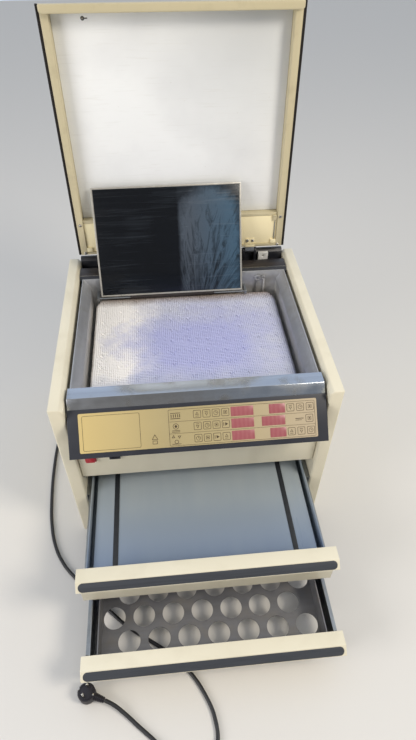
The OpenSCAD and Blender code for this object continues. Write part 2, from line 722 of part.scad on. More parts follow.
// Lower drawer body: two side members joined by the floor of a deep perforated tray
lower_y0 = lower_back;
side_t = 3;
tray_drop = 6;
tray_top = lower_top - tray_drop;
tray_half = lower_half - side_t;
tray_wall = tray_half - drawer_gap - sheet_t;
hole_y0 = 38;
hole_pitch_x = 2 * (tray_wall - sheet_t - hole_margin - hole_d / 2) / (holes_per_row - 0.5);
module lower_sides() color("#2a2c33") for (s = [0, 1]) mirror([s, 0, 0])
    box([lower_half - side_t, lower_y0, tray_z - side_t],
        [lower_half, lower_y0 + drawer_d, tray_top]);
module perforated_tray() color("#868d96") difference() {
    union() {
        box([-tray_wall, lower_y0, tray_z - sheet_t], [tray_wall, lower_y0 + drawer_d, tray_top]);
        box([-tray_half, lower_y0, tray_z - sheet_t], [tray_half, lower_y0 + drawer_d, tray_z]);
    }
    box([-tray_wall + sheet_t, lower_y0 + sheet_t, tray_z],
        [tray_wall - sheet_t, lower_y0 + drawer_d - sheet_t, tray_top + 1]);
    for (row = [0:hole_rows - 1], i = [0:holes_per_row - 1])
        translate([(i - (holes_per_row - 1) / 2) * hole_pitch_x
            + (row % 2 == 0 ? 1 : -1) * hole_pitch_x / 4,
            lower_back + hole_y0 + row * hole_pitch_y, tray_z - sheet_t - 1])
            cylinder(h = sheet_t + 2, d = hole_d);
}
module lower_runners() color("#a6adb3") runner(lower_y0, lower_slide_z, lower_slide_room);

// Mains cable on the floor, swept along its route from the gland to the plug
cable_r = cable_d / 2;
plug_x = -262;
plug_y = -374;
plug_z = 12;
plug_r = 18;
back_y = panel_d + nut_h + relief_len;
side_x = -half_w;
route = [[gland_x, back_y, gland_z], [gland_x, back_y + 21, 108], [gland_x - 1, back_y + 44, 99],
    [gland_x - 4, back_y + 67, 78], [gland_x - 11, back_y + 87, 50], [gland_x - 23, back_y + 102, 24],
    [gland_x - 41, back_y + 111, 8], [gland_x - 67, back_y + 112, 4], [side_x - 17, back_y + 99, 4],
    [side_x - 41, back_y + 69, 4], [side_x - 55, back_y + 26, 4], [side_x - 62, 530, 4],
    [side_x - 71, 450, 4], [side_x - 82, 360, 4], [side_x - 91, 270, 4], [side_x - 93, 180, 4],
    [side_x - 89, 90, 4], [side_x - 81, 20, 4], [side_x - 66, -40, 4], [-338, -87, 4],
    [-307, -126, 4], [-268, -166, 4], [-225, -209, 4], [-180, -250, 4], [-134, -282, 4],
    [-90, -314, 4], [-52, -352, 4], [-24, -396, 4], [-8, -440, 4], [-8, -484, 4],
    [-28, -518, 4], [-62, -526, 4], [-94, -504, 4], [-124, -470, 4], [-160, -438, 4],
    [-190, -412, 7], [-208, -399, 11], [-225, -390, 12]];
steps = 2;
function spline(a, b, c, d, t) = 0.5 * (2 * b + (c - a) * t + (2 * a - 5 * b + 4 * c - d) * t * t
    + (3 * b - a - 3 * c + d) * t * t * t);
function clamp_at(i) = route[max(0, min(len(route) - 1, i))];
path = concat([for (i = [0:len(route) - 2], k = [0:steps - 1])
    spline(clamp_at(i - 1), route[i], route[i + 1], clamp_at(i + 2), k / steps)],
    [route[len(route) - 1]]);
function unit(v) = v / norm(v);
function heading(i) = unit(path[min(len(path) - 1, i + 1)] - path[max(0, i - 1)]);
sides = 8;
function ring(i) = let (t = heading(i), side = unit(cross(t, [0, 0, 1])), up = cross(side, t))
    [for (k = [0:sides - 1]) let (a = 360 * (k + 0.5) / sides)
        path[i] + cable_r * (cos(a) * side + sin(a) * up)];
module cord() color("#17171a") {
    n = len(path);
    rings = [for (i = [0:n - 1]) each ring(i)];
    walls = [for (i = [0:n - 2], k = [0:sides - 1]) let (a = i * sides + k, b = i * sides + (k + 1) % sides)
        [a, b, b + sides, a + sides]];
    polyhedron(rings, concat([[for (k = [sides - 1:-1:0]) k]], walls,
        [[for (k = [0:sides - 1]) (n - 1) * sides + k]]));
}

// Round angled plug that lies on its back, pins up
plug_h = 24;
plug_face = 3;
prong_pitch = 19;
prong_d = 4.8;
prong_len = 17;
tail_r = 9;
module plug() color("#1a191f") translate([plug_x, plug_y, 0]) {
    cylinder(h = plug_h, r = plug_r);
    translate([0, 0, plug_h]) cylinder(h = plug_face, r = plug_r - plug_face);
    for (s = [-1, 1]) translate([s * prong_pitch / 2, 0, plug_h + plug_face])
        cylinder(h = prong_len, d = prong_d, $fn = 24);
    tail = route[len(route) - 1] - [plug_x, plug_y, plug_z];
    translate([0, 0, plug_z]) rotate([0, 90, atan2(tail[1], tail[0])])
        cylinder(h = norm(tail) - gap, r1 = tail_r, r2 = cable_r + 1.5);
}

placed() left_panel();
placed() right_panel();
placed() rear_panel();
placed() floor_tie();
placed() middle_deck();
placed() lamp_housing();
placed() lamp_tubes();
placed() apron();
placed() control_housing();
placed() keypad_label();
placed() main_switch();
placed() side_socket();
placed() basin();
placed() front_rim();
placed() brush_board();
placed() bristle_bed();
placed() spray_nozzle();
placed() rear_shelf();
placed() hinge_rail();
placed() lid_switch();
placed() hinge_brackets();
placed() upper_channels();
placed() lower_channels();
placed() carrier_lugs();
placed() cable_gland();
placed() drain_spigot();
placed() lid_shell();
placed() lid_trims();
placed() lid_liner();
placed() lid_foot_panel();
placed() lid_cross_strip();
placed() lid_lip();
placed() lid_knuckles();
placed() carrier_frame();
placed() carrier_sheet();
placed() carrier_bar();
placed() upper_front();
placed() upper_inlay();
placed() upper_pan();
placed() vacuum_bed();
placed() bed_seals();
placed() upper_runners();
placed() lower_front();
placed() lower_inlay();
placed() lower_sides();
placed() perforated_tray();
placed() lower_runners();
placed() cord();
placed() plug();
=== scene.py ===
# Bench-top processor for photopolymer printing plates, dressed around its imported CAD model.
# Sizes of pieces are in millimetres on the machine's own axes: x across, y back from the front
# edges of its side panels, z up from the floor. Finishes read Object coordinates, in metres.
import math
import random
import bpy
from mathutils import Matrix, Vector
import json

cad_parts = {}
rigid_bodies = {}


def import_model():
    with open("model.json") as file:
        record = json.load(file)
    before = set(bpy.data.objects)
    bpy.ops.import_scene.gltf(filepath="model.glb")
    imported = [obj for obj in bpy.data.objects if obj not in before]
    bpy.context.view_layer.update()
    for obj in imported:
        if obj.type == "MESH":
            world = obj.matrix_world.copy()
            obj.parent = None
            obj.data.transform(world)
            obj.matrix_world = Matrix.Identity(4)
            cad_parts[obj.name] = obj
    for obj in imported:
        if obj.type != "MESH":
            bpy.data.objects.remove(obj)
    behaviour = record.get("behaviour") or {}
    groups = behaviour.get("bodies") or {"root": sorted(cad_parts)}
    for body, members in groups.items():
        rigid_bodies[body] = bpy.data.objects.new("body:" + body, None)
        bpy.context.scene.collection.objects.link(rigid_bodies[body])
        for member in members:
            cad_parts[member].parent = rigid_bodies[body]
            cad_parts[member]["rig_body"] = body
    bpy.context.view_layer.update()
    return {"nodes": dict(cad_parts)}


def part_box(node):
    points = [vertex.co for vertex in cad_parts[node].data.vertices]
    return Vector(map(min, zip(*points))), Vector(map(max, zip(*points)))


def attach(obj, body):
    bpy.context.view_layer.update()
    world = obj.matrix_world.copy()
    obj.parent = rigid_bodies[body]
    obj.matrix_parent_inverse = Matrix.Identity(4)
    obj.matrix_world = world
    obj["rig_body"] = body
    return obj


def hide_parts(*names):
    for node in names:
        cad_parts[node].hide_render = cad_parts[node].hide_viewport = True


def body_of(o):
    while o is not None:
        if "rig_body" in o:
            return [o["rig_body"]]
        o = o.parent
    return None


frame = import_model()
MM = 0.001
front_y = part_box("left_panel")[0][1]


def at(x, y, z):
    """A place on the machine, in the frame's metres."""
    return Vector((x * MM, front_y + y * MM, z * MM))


# Camera: at standing height in front of the machine's left half, looking down into it, with a
# phone's lens held upright. Its turn to the right, tilt down and roll are in radians.
turn, tilt, roll = 0.09863, 0.78728, 0.00524
ahead = Vector((math.sin(turn) * math.cos(tilt), math.cos(turn) * math.cos(tilt), -math.sin(tilt)))
level = Vector((math.cos(turn), -math.sin(turn), 0))
upward = level.cross(ahead)
side = math.cos(roll) * level + math.sin(roll) * upward
upward = math.cos(roll) * upward - math.sin(roll) * level
camera = bpy.data.objects.new("camera", bpy.data.cameras.new("camera"))
bpy.context.collection.objects.link(camera)
camera.data.sensor_width = 36
camera.data.lens = 26.107
camera.matrix_world = Matrix((side, upward, -ahead)).transposed().to_4x4()
camera.location = at(-51.3, -698.5, 1245.9)
bpy.context.scene.camera = camera

# Studio: a pale floor that runs on past the picture, a soft sky that is bluer and brighter
# behind the machine than in front of it, a key lamp high at the right and a fill lamp left.


def colour(code):
    """An sRGB hex colour as the linear red, green, blue and alpha that a node takes."""
    parts = [int(code[i:i + 2], 16) / 255 for i in (1, 3, 5)]
    return [p / 12.92 if p <= 0.04045 else ((p + 0.055) / 1.055) ** 2.4 for p in parts] + [1.0]


def add(finish, kind, inputs=None, into=None, take=0, **settings):
    """Adds a node and gives the output that take names, or else its first output in use, which
    also feeds into where that is given. inputs holds values or outputs by socket. In a Mix, 0 is
    the share and 6 and 7 the colours; a MapRange turns 1 to 2 into 3 to 4."""
    made = finish.node_tree.nodes.new("ShaderNode" + kind)
    for name, value in settings.items():
        setattr(made, name, value)
    for name, value in (inputs or {}).items():
        if isinstance(value, bpy.types.NodeSocket):
            finish.node_tree.links.new(value, made.inputs[name])
        else:
            made.inputs[name].default_value = value
    output = made.outputs[take] if take else next(o for o in made.outputs if o.enabled)
    if into:
        finish.node_tree.links.new(output, into)
    return output


bpy.context.scene.view_settings.view_transform = "Standard"
sky = bpy.data.worlds.new("studio_sky")
sky.use_nodes = True
bpy.context.scene.world = sky
background = sky.node_tree.nodes["Background"]
background.inputs["Strength"].default_value = 0.95
heading = add(sky, "SeparateXYZ", {0: add(sky, "TexCoord", take="Generated")}).node.outputs
rearward = add(sky, "MapRange", {0: heading["Y"], 1: -0.35, 2: 0.45})
rightward = add(sky, "MapRange", {0: heading["X"], 1: -0.05, 2: 0.3})
low_front = add(sky, "Mix", {0: rightward, 6: colour("#8F8A84"), 7: colour("#92969C")},
                data_type="RGBA")
skywide = add(sky, "Mix", {0: rearward, 6: low_front, 7: colour("#DCE7F8")}, data_type="RGBA")
raised = add(sky, "MapRange", {0: heading["Z"], 1: 0.7, 2: 1.0})
add(sky, "Mix", {0: raised, 6: skywide, 7: colour("#EEF3FB")},
    into=background.inputs["Color"], data_type="RGBA")


def studio_lamp(name, place, aim, size, power, code):
    """A square soft lamp that looks from its place to its aim, in metres and watts."""
    lamp = bpy.data.objects.new(name, bpy.data.lights.new(name, "AREA"))
    lamp.data.size = size
    lamp.data.energy = power
    lamp.data.color = colour(code)[:3]
    lamp.matrix_world = (Vector(aim) - Vector(place)).to_track_quat("-Z", "Y").to_matrix().to_4x4()
    lamp.location = place
    bpy.context.collection.objects.link(lamp)


studio_lamp("key_lamp", (2.1, -1.3, 2.6), (0, -0.05, 0.4), 0.9, 62, "#FFF6E8")
studio_lamp("fill_lamp", (-2.7, -1.3, 1.5), (0, -0.1, 0.35), 1.5, 52, "#F9F7F8")


def new_finish(name, code, roughness, metallic=0.0, **more):
    """A material named for its finish, with its one shader and its place on the object."""
    made = bpy.data.materials.new(name)
    made.use_nodes = True
    shader = made.node_tree.nodes["Principled BSDF"]
    shader.inputs["Base Color"].default_value = colour(code)
    shader.inputs["Roughness"].default_value = roughness
    shader.inputs["Metallic"].default_value = metallic
    for socket, value in more.items():
        shader.inputs[socket.replace("_", " ")].default_value = value
    return made, shader, add(made, "TexCoord", take="Object")


floor_finish, shader, place = new_finish("pale_floor_paint", "#D9D6D0", 0.8)
add(floor_finish, "Bump", {"Strength": 0.1, "Distance": 0.001, "Height": add(
    floor_finish, "TexNoise", {"Vector": place, "Scale": 180.0, "Detail": 3.0})},
    into=shader.inputs["Normal"])
bpy.ops.mesh.primitive_plane_add(size=12)
floor = bpy.context.object
floor.name = "floor"
floor.data.materials.append(floor_finish)

# Mains plug: a side-entry earthed plug that lies on its back. Black moulded thermoplastic round
# body with two nickelled pins and an earth spring on each side, moulded onto the cable.


def edit_whole():
    """Enters edit mode with the whole mesh selected."""
    bpy.ops.object.mode_set(mode="EDIT")
    bpy.ops.mesh.select_all(action="SELECT")


def turned(name, finish, rings, sides=32):
    """A round piece on the z axis, extruded ring by ring from its (radius, height) pairs."""
    bpy.ops.object.select_all(action="DESELECT")
    bpy.ops.mesh.primitive_circle_add(vertices=sides, radius=rings[0][0] * MM, fill_type="NGON",
                                      location=(0, 0, rings[0][1] * MM))
    piece = bpy.context.object
    piece.name = name
    bpy.ops.object.transform_apply(location=True, rotation=True, scale=True)
    edit_whole()
    for (r0, z0), (r1, z1) in zip(rings, rings[1:]):
        bpy.ops.mesh.extrude_region_move(TRANSFORM_OT_translate={"value": (0, 0, (z1 - z0) * MM)})
        bpy.ops.transform.resize(value=(r1 / r0, r1 / r0, 1), center_override=(0, 0, z1 * MM))
    bpy.ops.mesh.select_all(action="SELECT")
    bpy.ops.mesh.normals_make_consistent(inside=False)
    bpy.ops.object.mode_set(mode="OBJECT")
    piece.data.materials.append(finish)
    return piece


def ribbed(profile, tapers, pitch, count):
    """Repeats one rib's (radius, height) pairs up a strain relief, each radius by its taper."""
    return [(r - taper * k, z + pitch * k) for k in range(count)
            for (r, z), taper in zip(profile, tapers)]


def block(name, finish, low, high, rounding):
    """A rounded block between two corners."""
    bpy.ops.object.select_all(action="DESELECT")
    bpy.ops.mesh.primitive_cube_add(size=1)
    piece = bpy.context.object
    piece.name = name
    piece.scale = [(b - a) * MM for a, b in zip(low, high)]
    piece.location = [(a + b) / 2 * MM for a, b in zip(low, high)]
    bpy.ops.object.transform_apply(location=True, rotation=True, scale=True)
    edit_whole()
    bpy.ops.mesh.bevel(offset=rounding * MM, segments=2, affect="EDGES")
    bpy.ops.object.mode_set(mode="OBJECT")
    piece.data.materials.append(finish)
    return piece


def pick(*pieces):
    """Selects these pieces alone and makes the first one active."""
    bpy.ops.object.select_all(action="DESELECT")
    for piece in pieces:
        piece.select_set(True)
    bpy.context.view_layer.objects.active = pieces[0]


def move(piece, where=(0, 0, 0), degrees=(0, 0, 0)):
    """Turns a piece about its origin, shifts it in millimetres and applies both."""
    pick(piece)
    piece.rotation_euler = [math.radians(a) for a in degrees]
    piece.location = [a * MM for a in where]
    bpy.ops.object.transform_apply(location=True, rotation=True, scale=True)
    return piece


def again(piece, where=(0, 0, 0), degrees=(0, 0, 0)):
    """A copy of a piece with its own mesh, moved."""
    twin = piece.copy()
    twin.data = piece.data.copy()
    bpy.context.collection.objects.link(twin)
    return move(twin, where, degrees)


def joined(name, pieces):
    """Several pieces as one object."""
    pick(*pieces)
    bpy.ops.object.join()
    pieces[0].name = name
    return pieces[0]


def fitted(piece, body, slot, *nodes, smooth=35):
    """Smooths a finished piece, hangs it on its body and lets it stand for CAD nodes."""
    pick(piece)
    bpy.ops.object.shade_smooth_by_angle(angle=math.radians(smooth))
    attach(piece, body)
    if nodes:
        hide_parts(*nodes)
    return piece


def patchy(finish, shader, where, scale, detail, colours=None, gloss=None):
    """Soft patches that shift a finish between two colours and between two roughnesses."""
    patches = add(finish, "TexNoise", {"Vector": where, "Scale": scale, "Detail": detail})
    if colours:
        add(finish, "Mix", {0: patches, 6: colour(colours[0]), 7: colour(colours[1])},
            into=shader.inputs["Base Color"], data_type="RGBA")
    if gloss:
        add(finish, "MapRange", {0: patches, 3: gloss[0], 4: gloss[1]},
            into=shader.inputs["Roughness"])
    return patches


# Moulded thermoplastic: satin with a fine spark-eroded grain, drawn at 1.5 mm.
moulded_black, shader, place = new_finish("black_moulded_thermoplastic", "#17151B", 0.34)
grain = add(moulded_black, "TexNoise", {"Vector": place, "Scale": 700.0, "Detail": 2.0})
patchy(moulded_black, shader, place, 60.0, 4.0, ("#121016", "#25222B"), (0.26, 0.48))
add(moulded_black, "Bump", {"Strength": 0.2, "Distance": 0.0002, "Height": grain},
    into=shader.inputs["Normal"])
# Nickelled brass: bright metal with short rub marks.
nickel, shader, place = new_finish("nickelled_brass", "#B9B6AE", 0.26, 1.0)
patchy(nickel, shader, place, 500.0, 3.0, gloss=(0.14, 0.34))

body = turned("plug_body", moulded_black, [
    (15.5, 0), (17.5, 2), (17.8, 3), (17.8, 11), (17, 11.8), (17, 13), (17.8, 13.8), (17.8, 22),
    (16.4, 24), (14.8, 24), (14.6, 26.6), (14.2, 27), (12.8, 27), (12.4, 25.8)], sides=48)
tail = turned("tail", moulded_black, [(8.2, 9), (8.0, 17)] + ribbed(
    [(7.7, 17.6), (7.4, 19.6), (6.4, 20.0), (6.3, 20.8)], [0.35] * 4, 3.6, 6), sides=24)
move(tail, (0, 0, 12), (0, 90, 0))
body = joined("plug_moulding", [body, tail])
pin = turned("pin", nickel, [(2.4, 25.5), (2.4, 42.2), (2.1, 43.4), (1.3, 44)], sides=20)
move(pin, (0, 9.5, 0))
spring = joined("spring", [
    block("spring_side", nickel, (15.4, -2.2, 15), (17.2, 2.2, 25.4), 0.5),
    block("spring_face", nickel, (13, -2.2, 24.6), (16.6, 2.2, 26.6), 0.6)])
contacts = joined("plug_contacts", [pin, again(pin, degrees=(0, 0, 180)), spring,
                                    again(spring, degrees=(0, 0, 180))])
plug_x, plug_y, lead_turn = -262, -374, -23.4
for piece in (body, contacts):
    move(piece, degrees=(0, 0, lead_turn))
    move(piece, at(plug_x, plug_y, 0) / MM)
    fitted(piece, "cabinet", "black_plastic", "plug")

# Mains cable: an 8 mm black lead with a soft vinyl sheath. It leaves the rear panel, runs past
# the left side, under the two open drawers and back to the plug in front.
route = [(-215, 569, 110), (-215, 590, 108), (-216, 613, 99), (-219, 636, 78), (-226, 656, 50),
         (-238, 671, 24), (-256, 680, 8), (-282, 681, 4), (-312, 668, 4), (-336, 638, 4),
         (-350, 595, 4), (-357, 530, 4), (-366, 450, 4), (-377, 360, 4), (-386, 270, 4),
         (-388, 180, 4), (-384, 90, 4), (-376, 20, 4), (-361, -40, 4), (-338, -87, 4),
         (-307, -126, 4), (-268, -166, 4), (-225, -209, 4), (-180, -250, 4), (-134, -282, 4),
         (-90, -314, 4), (-52, -352, 4), (-24, -396, 4), (-8, -440, 4), (-8, -484, 4),
         (-28, -518, 4), (-62, -526, 4), (-94, -504, 4), (-124, -470, 4), (-160, -438, 4),
         (-190, -412, 7), (-208, -399, 11), (-225, -390, 12)]
cable_d = 8
# Soft PVC: satin black, dulled in 10 mm patches where it has been dragged over floors.
cable_sheath, shader, place = new_finish("black_vinyl_sheath", "#1A1A1C", 0.42)
scuffs = patchy(cable_sheath, shader, place, 90.0, 5.0, ("#121214", "#2A2A2D"), (0.34, 0.56))
add(cable_sheath, "Bump", {"Strength": 0.25, "Distance": 0.0004, "Height": scuffs},
    into=shader.inputs["Normal"])
cable_line = bpy.data.curves.new("mains_cable", "CURVE")
cable_line.dimensions = "3D"
cable_line.bevel_depth = cable_d / 2 * MM
cable_line.bevel_resolution = 3
cable_line.resolution_u = 6
cable_line.use_fill_caps = True
spline = cable_line.splines.new("BEZIER")
spline.bezier_points.add(len(route) - 1)
for point, p in zip(spline.bezier_points, route):
    point.co = at(*p)
    point.handle_left_type = point.handle_right_type = "AUTO"
cable = bpy.data.objects.new("mains_cable", cable_line)
bpy.context.collection.objects.link(cable)
cable_line.materials.append(cable_sheath)
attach(cable, "cabinet")
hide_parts("cord")

# Side panels, front panel and rear panel: folded steel sheet with cream stove enamel, screwed to
# the deck and the floor tie. The panels' front and rear edges are rolled.


def paint(finish, node):
    """Gives a CAD node whose shape is already right its finish."""
    piece = frame["nodes"][node]
    piece.data.materials.clear()
    piece.data.materials.append(finish)


def dress(node, finish, rounding, steps, slot, smooth=35):
    """A copy of a CAD node with its triangles merged and its edges rounded, in the node's place."""
    source = frame["nodes"][node]
    piece = bpy.data.objects.new(node + "_rounded", source.data.copy())
    bpy.context.collection.objects.link(piece)
    piece.data.materials.clear()
    piece.data.materials.append(finish)
    pick(piece)
    edit_whole()
    bpy.ops.mesh.remove_doubles(threshold=0.00001)
    bpy.ops.mesh.dissolve_limited(angle_limit=math.radians(1))
    bpy.ops.object.mode_set(mode="OBJECT")
    rounder = piece.modifiers.new("rounding", "BEVEL")
    rounder.width = rounding * MM
    rounder.segments = steps
    rounder.limit_method = "ANGLE"
    rounder.angle_limit = math.radians(35)
    rounder.use_clamp_overlap = True
    bpy.ops.object.modifier_apply(modifier=rounder.name)
    return fitted(piece, body_of(source)[0], slot, node, smooth=smooth)


def laid_over(finish, under, code, pattern, low, high, share=1.0, into=None):
    """Lays a colour over what is under it, where a pattern rises from low to high."""
    amount = add(finish, "MapRange", {0: pattern, 1: low, 2: high, 4: share})
    return add(finish, "Mix", {0: amount, 6: under, 7: colour(code)}, into=into,
               data_type="RGBA")


# Stove enamel: semi-gloss with an orange peel of 1.5 mm, yellowed in 200 mm clouds, with sparse
# hand marks and a few chips that show grey primer.
cream_enamel, shader, place = new_finish("cream_stove_enamel", "#E9E1C6", 0.42)
clouds = add(cream_enamel, "TexNoise", {"Vector": place, "Scale": 5.0, "Detail": 4.0})
aged = add(cream_enamel, "Mix", {0: clouds, 6: colour("#EDE6D0"), 7: colour("#DCD4BA")},
           data_type="RGBA")
smears = add(cream_enamel, "TexNoise", {"Vector": add(cream_enamel, "Mapping", {
    "Vector": place, "Scale": (14, 14, 6)}), "Scale": 1.0, "Detail": 8.0})
soiled = laid_over(cream_enamel, aged, "#BDB399", smears, 0.52, 0.8, 0.3)
chips = add(cream_enamel, "TexNoise", {"Vector": place, "Scale": 130.0, "Detail": 6.0})
laid_over(cream_enamel, soiled, "#A0967C", chips, 0.74, 0.8, 0.6, into=shader.inputs["Base Color"])
peel = add(cream_enamel, "TexNoise", {"Vector": place, "Scale": 650.0, "Detail": 1.0})
add(cream_enamel, "Bump", {"Strength": 0.12, "Distance": 0.0002, "Height": peel},
    into=shader.inputs["Normal"])
add(cream_enamel, "MapRange", {0: smears, 1: 0.3, 2: 0.75, 3: 0.3, 4: 0.55},
    into=shader.inputs["Roughness"])
for node in ("left_panel", "right_panel"):
    dress(node, cream_enamel, 3, 3, "cream_enamel")
for node in ("apron", "rear_panel"):
    dress(node, cream_enamel, 1, 2, "cream_enamel")

# Drawer fronts: the same enamelled sheet, folded to a flat top, a 45 degree face and a recessed
# apron that takes the fingers.
for node in ("upper_front", "lower_front"):
    dress(node, cream_enamel, 1.4, 3, "cream_enamel")

# Control housing and drawer inlays: a folded sheet wedge and two trim strips.
# Satin charcoal enamel: a fine texture of 1 mm, bluish where it faces the sky, with 50 mm
# clouds of handling.
charcoal_enamel, shader, place = new_finish("charcoal_satin_enamel", "#2C2E37", 0.46)
grain = add(charcoal_enamel, "TexNoise", {"Vector": place, "Scale": 900.0, "Detail": 2.0})
patchy(charcoal_enamel, shader, place, 18.0, 5.0, ("#22242C", "#31343D"), (0.36, 0.58))
add(charcoal_enamel, "Bump", {"Strength": 0.3, "Distance": 0.0002, "Height": grain},
    into=shader.inputs["Normal"])
dress("control_housing", charcoal_enamel, 1.2, 3, "charcoal_enamel")
# Dark grey trim: a satin vinyl strip with rub marks 2 mm wide along its length.
trim_strip, shader, place = new_finish("dark_grey_trim_strip", "#4A4845", 0.5)
patchy(trim_strip, shader, add(trim_strip, "Mapping", {"Vector": place, "Scale": (12, 400, 400)}),
       1.0, 5.0, ("#2F3237", "#44484F"), (0.38, 0.6))
dress("upper_inlay", trim_strip, 0.4, 2, "charcoal_enamel")
dress("lower_inlay", trim_strip, 0.4, 2, "charcoal_enamel")

# Keypad label: gold foil printed in dark brown under clear film, stuck on the sloped face. The
# framed box at its left is bare. Red filter windows cover the displays.
# Gold foil: a soft metallic sheen, paler beige towards the right, in 100 mm clouds, with a
# painted highlight of bright gold at its left end where sunlight falls.
gold_foil, shader, place = new_finish("gold_keypad_foil", "#BFAE82", 0.42, 0.15)
clouds = add(gold_foil, "TexNoise", {"Vector": place, "Scale": 9.0, "Detail": 2.0})
cast = add(gold_foil, "Mix", {0: clouds, 6: colour("#AE9F74"), 7: colour("#BFAF84")},
           data_type="RGBA")
# Painted highlight: bright gold laid over the left end where sunlight falls
sunlit_left_highlight = add(gold_foil, "MapRange", {0: add(gold_foil, "SeparateXYZ", {0: place}, take="X"),
                                       1: -0.235, 2: -0.06, 3: 0.8, 4: 0.0})
paler_right = laid_over(gold_foil, cast, "#C4B399",
                  add(gold_foil, "SeparateXYZ", {0: place}, take="X"), 0.02, 0.22, 0.8)
add(gold_foil, "Mix", {0: sunlit_left_highlight, 6: paler_right, 7: colour("#E3CA88")},
    into=shader.inputs["Base Color"], data_type="RGBA")
patchy(gold_foil, shader, place, 300.0, 1.0, gloss=(0.36, 0.48))
paint(gold_foil, "keypad_label")
# Screen ink: flat dark brown that thins a little in 4 mm patches.
ink, shader, place = new_finish("dark_brown_screen_ink", "#3B2F22", 0.5)
patchy(ink, shader, place, 250.0, 2.0, ("#35291D", "#5A4A34"))
# Red acrylic filter: glossy, hazed by fine scratches, with the displays' 9 mm digits faintly
# lighter behind it.
red_filter, shader, place = new_finish("red_acrylic_filter", "#AE5A5F", 0.3)
digits = add(red_filter, "TexWave", {"Vector": place, "Scale": 35.0, "Distortion": 2.5,
                                     "Detail": 3.0}, take=1)
haze = add(red_filter, "TexNoise", {"Vector": place, "Scale": 160.0, "Detail": 5.0})
glow = add(red_filter, "MapRange", {0: add(red_filter, "Math", {0: digits, 1: haze},
                                           operation="MULTIPLY"), 3: 0.2, 4: 0.75})
add(red_filter, "Mix", {0: glow, 6: colour("#9C5158"), 7: colour("#B07474")},
    into=shader.inputs["Base Color"], data_type="RGBA")


def ring_of(u0, v0, u1, v1, corner, line=0.7):
    """A printed line round a rectangle of the keypad, or all of it where line is 0."""
    bpy.ops.object.select_all(action="DESELECT")
    bpy.ops.mesh.primitive_plane_add(size=1)
    piece = bpy.context.object
    piece.scale = ((u1 - u0) * MM, (v1 - v0) * MM, 1)
    piece.location = ((u0 + u1) / 2 * MM, (v0 + v1) / 2 * MM, 0)
    bpy.ops.object.transform_apply(location=True, rotation=True, scale=True)
    edit_whole()
    bpy.ops.mesh.bevel(offset=corner * MM, segments=3, affect="VERTICES")
    bpy.ops.mesh.select_all(action="SELECT")
    if line:
        bpy.ops.mesh.inset(thickness=line * MM, use_boundary=True)
        bpy.ops.mesh.delete(type="FACE")
    bpy.ops.object.mode_set(mode="OBJECT")
    return piece


def bar(u0, v0, u1, v1):
    """A printed solid bar with crisp corners."""
    return ring_of(u0, v0, u1, v1, 0.05, 0)


def mark(sides, radius, u, v, degrees=0.0, hollow=0.0):
    """A printed regular shape, filled or drawn as a line."""
    bpy.ops.object.select_all(action="DESELECT")
    bpy.ops.mesh.primitive_circle_add(vertices=sides, radius=radius * MM, fill_type="NGON")
    piece = bpy.context.object
    if hollow:
        edit_whole()
        bpy.ops.mesh.inset(thickness=hollow * MM, use_boundary=True)
        bpy.ops.mesh.delete(type="FACE")
        bpy.ops.object.mode_set(mode="OBJECT")
    return move(piece, (u, v, 0), (0, 0, degrees))


# The print is laid out flat, u across and v up from the label's middle. Two frames, two rules
prints = [ring_of(-233, -34, -119, 36, 3), ring_of(-62, -36, 236, 37, 2)]
for v in (-11.3, 12.6):
    prints.append(bar(-61.5, v - 0.3, 235.5, v + 0.3))
# Key symbols, generic: up and down arrows, a clock, a start bar and a stop square
key = ring_of(-7.8, -7.9, 7.8, 7.9, 2, 0.9)
symbols = [
    [mark(3, 4, 0, 0.6, 0, 0.8), bar(-3.4, -4.6, 3.4, -3.6)],
    [mark(3, 4, 0, -0.6, 180, 0.8), bar(-3.4, 3.6, 3.4, 4.6)],
    [mark(20, 4.6, 0, 0, 0, 0.8), bar(-0.4, 0, 0.4, 3.4), bar(0, -0.4, 2.8, 0.4)],
    [mark(4, 5, 0, 0, 45, 0.8), ring_of(-1.4, -1.4, 1.4, 1.4, 0.3, 0)],
    [mark(3, 4, 0.6, 0, -90, 0), bar(-5, -3.4, -3.9, 3.4)]]
row_mid = (25, 1, -23.6)
left_keys, left_pitch = -4.2, 19
right_keys, right_pitch, lone_key = 186, 20, 224
for row, v in enumerate(row_mid):
    spots = [(left_keys + left_pitch * k, k + row) for k in range(4)]
    if row == 1:
        spots.append((lone_key, 3))
    else:
        spots += [(right_keys + right_pitch * k, k + 2 * row + 1) for k in range(3)]
    for u, which in spots:
        prints.append(again(key, (u, v, 0)))
        prints += [again(s, (u, v, 0)) for s in symbols[which % len(symbols)]]
for piece in [key] + [s for group in symbols for s in group]:
    bpy.data.objects.remove(piece)
# What each row works: brush and plate, lamp, warm air; and a plate symbol beside the table
prints += [bar(-58, 29, -38, 30.2), bar(-58, 18, -38, 19.4)]
prints += [bar(u, 21, u + 1.6, 27.4) for u in (-57, -52.6, -48.2, -43.8, -40)]
prints += [mark(20, 6, -48, 3, 0, 1), mark(20, 2.6, -48, 3), bar(-56, -6, -40, -4.9),
           bar(-56, -8.8, -40, -7.7)]
prints += [mark(3, 4, -54, -18, 0, 1), mark(3, 4, -42, -18, 180, 1), mark(20, 4.2, -48, -28, 0, 1),
           bar(-57, -33, -39, -32)]
prints += [mark(3, 7.4, -91, -17, 0, 1), ring_of(-96, -29.5, -86, -22.5, 0.4, 1),
           bar(195, 1, 212, 2.4), bar(195, -2.2, 208, -1.1)]
label_print = joined("keypad_print", prints)
label_print.data.materials.clear()
label_print.data.materials.append(ink)
ink_coat = label_print.modifiers.new("ink_thickness", "SOLIDIFY")
ink_coat.thickness = 0.12 * MM
ink_coat.offset = 1
bpy.context.view_layer.objects.active = label_print
bpy.ops.object.modifier_apply(modifier=ink_coat.name)
windows = []
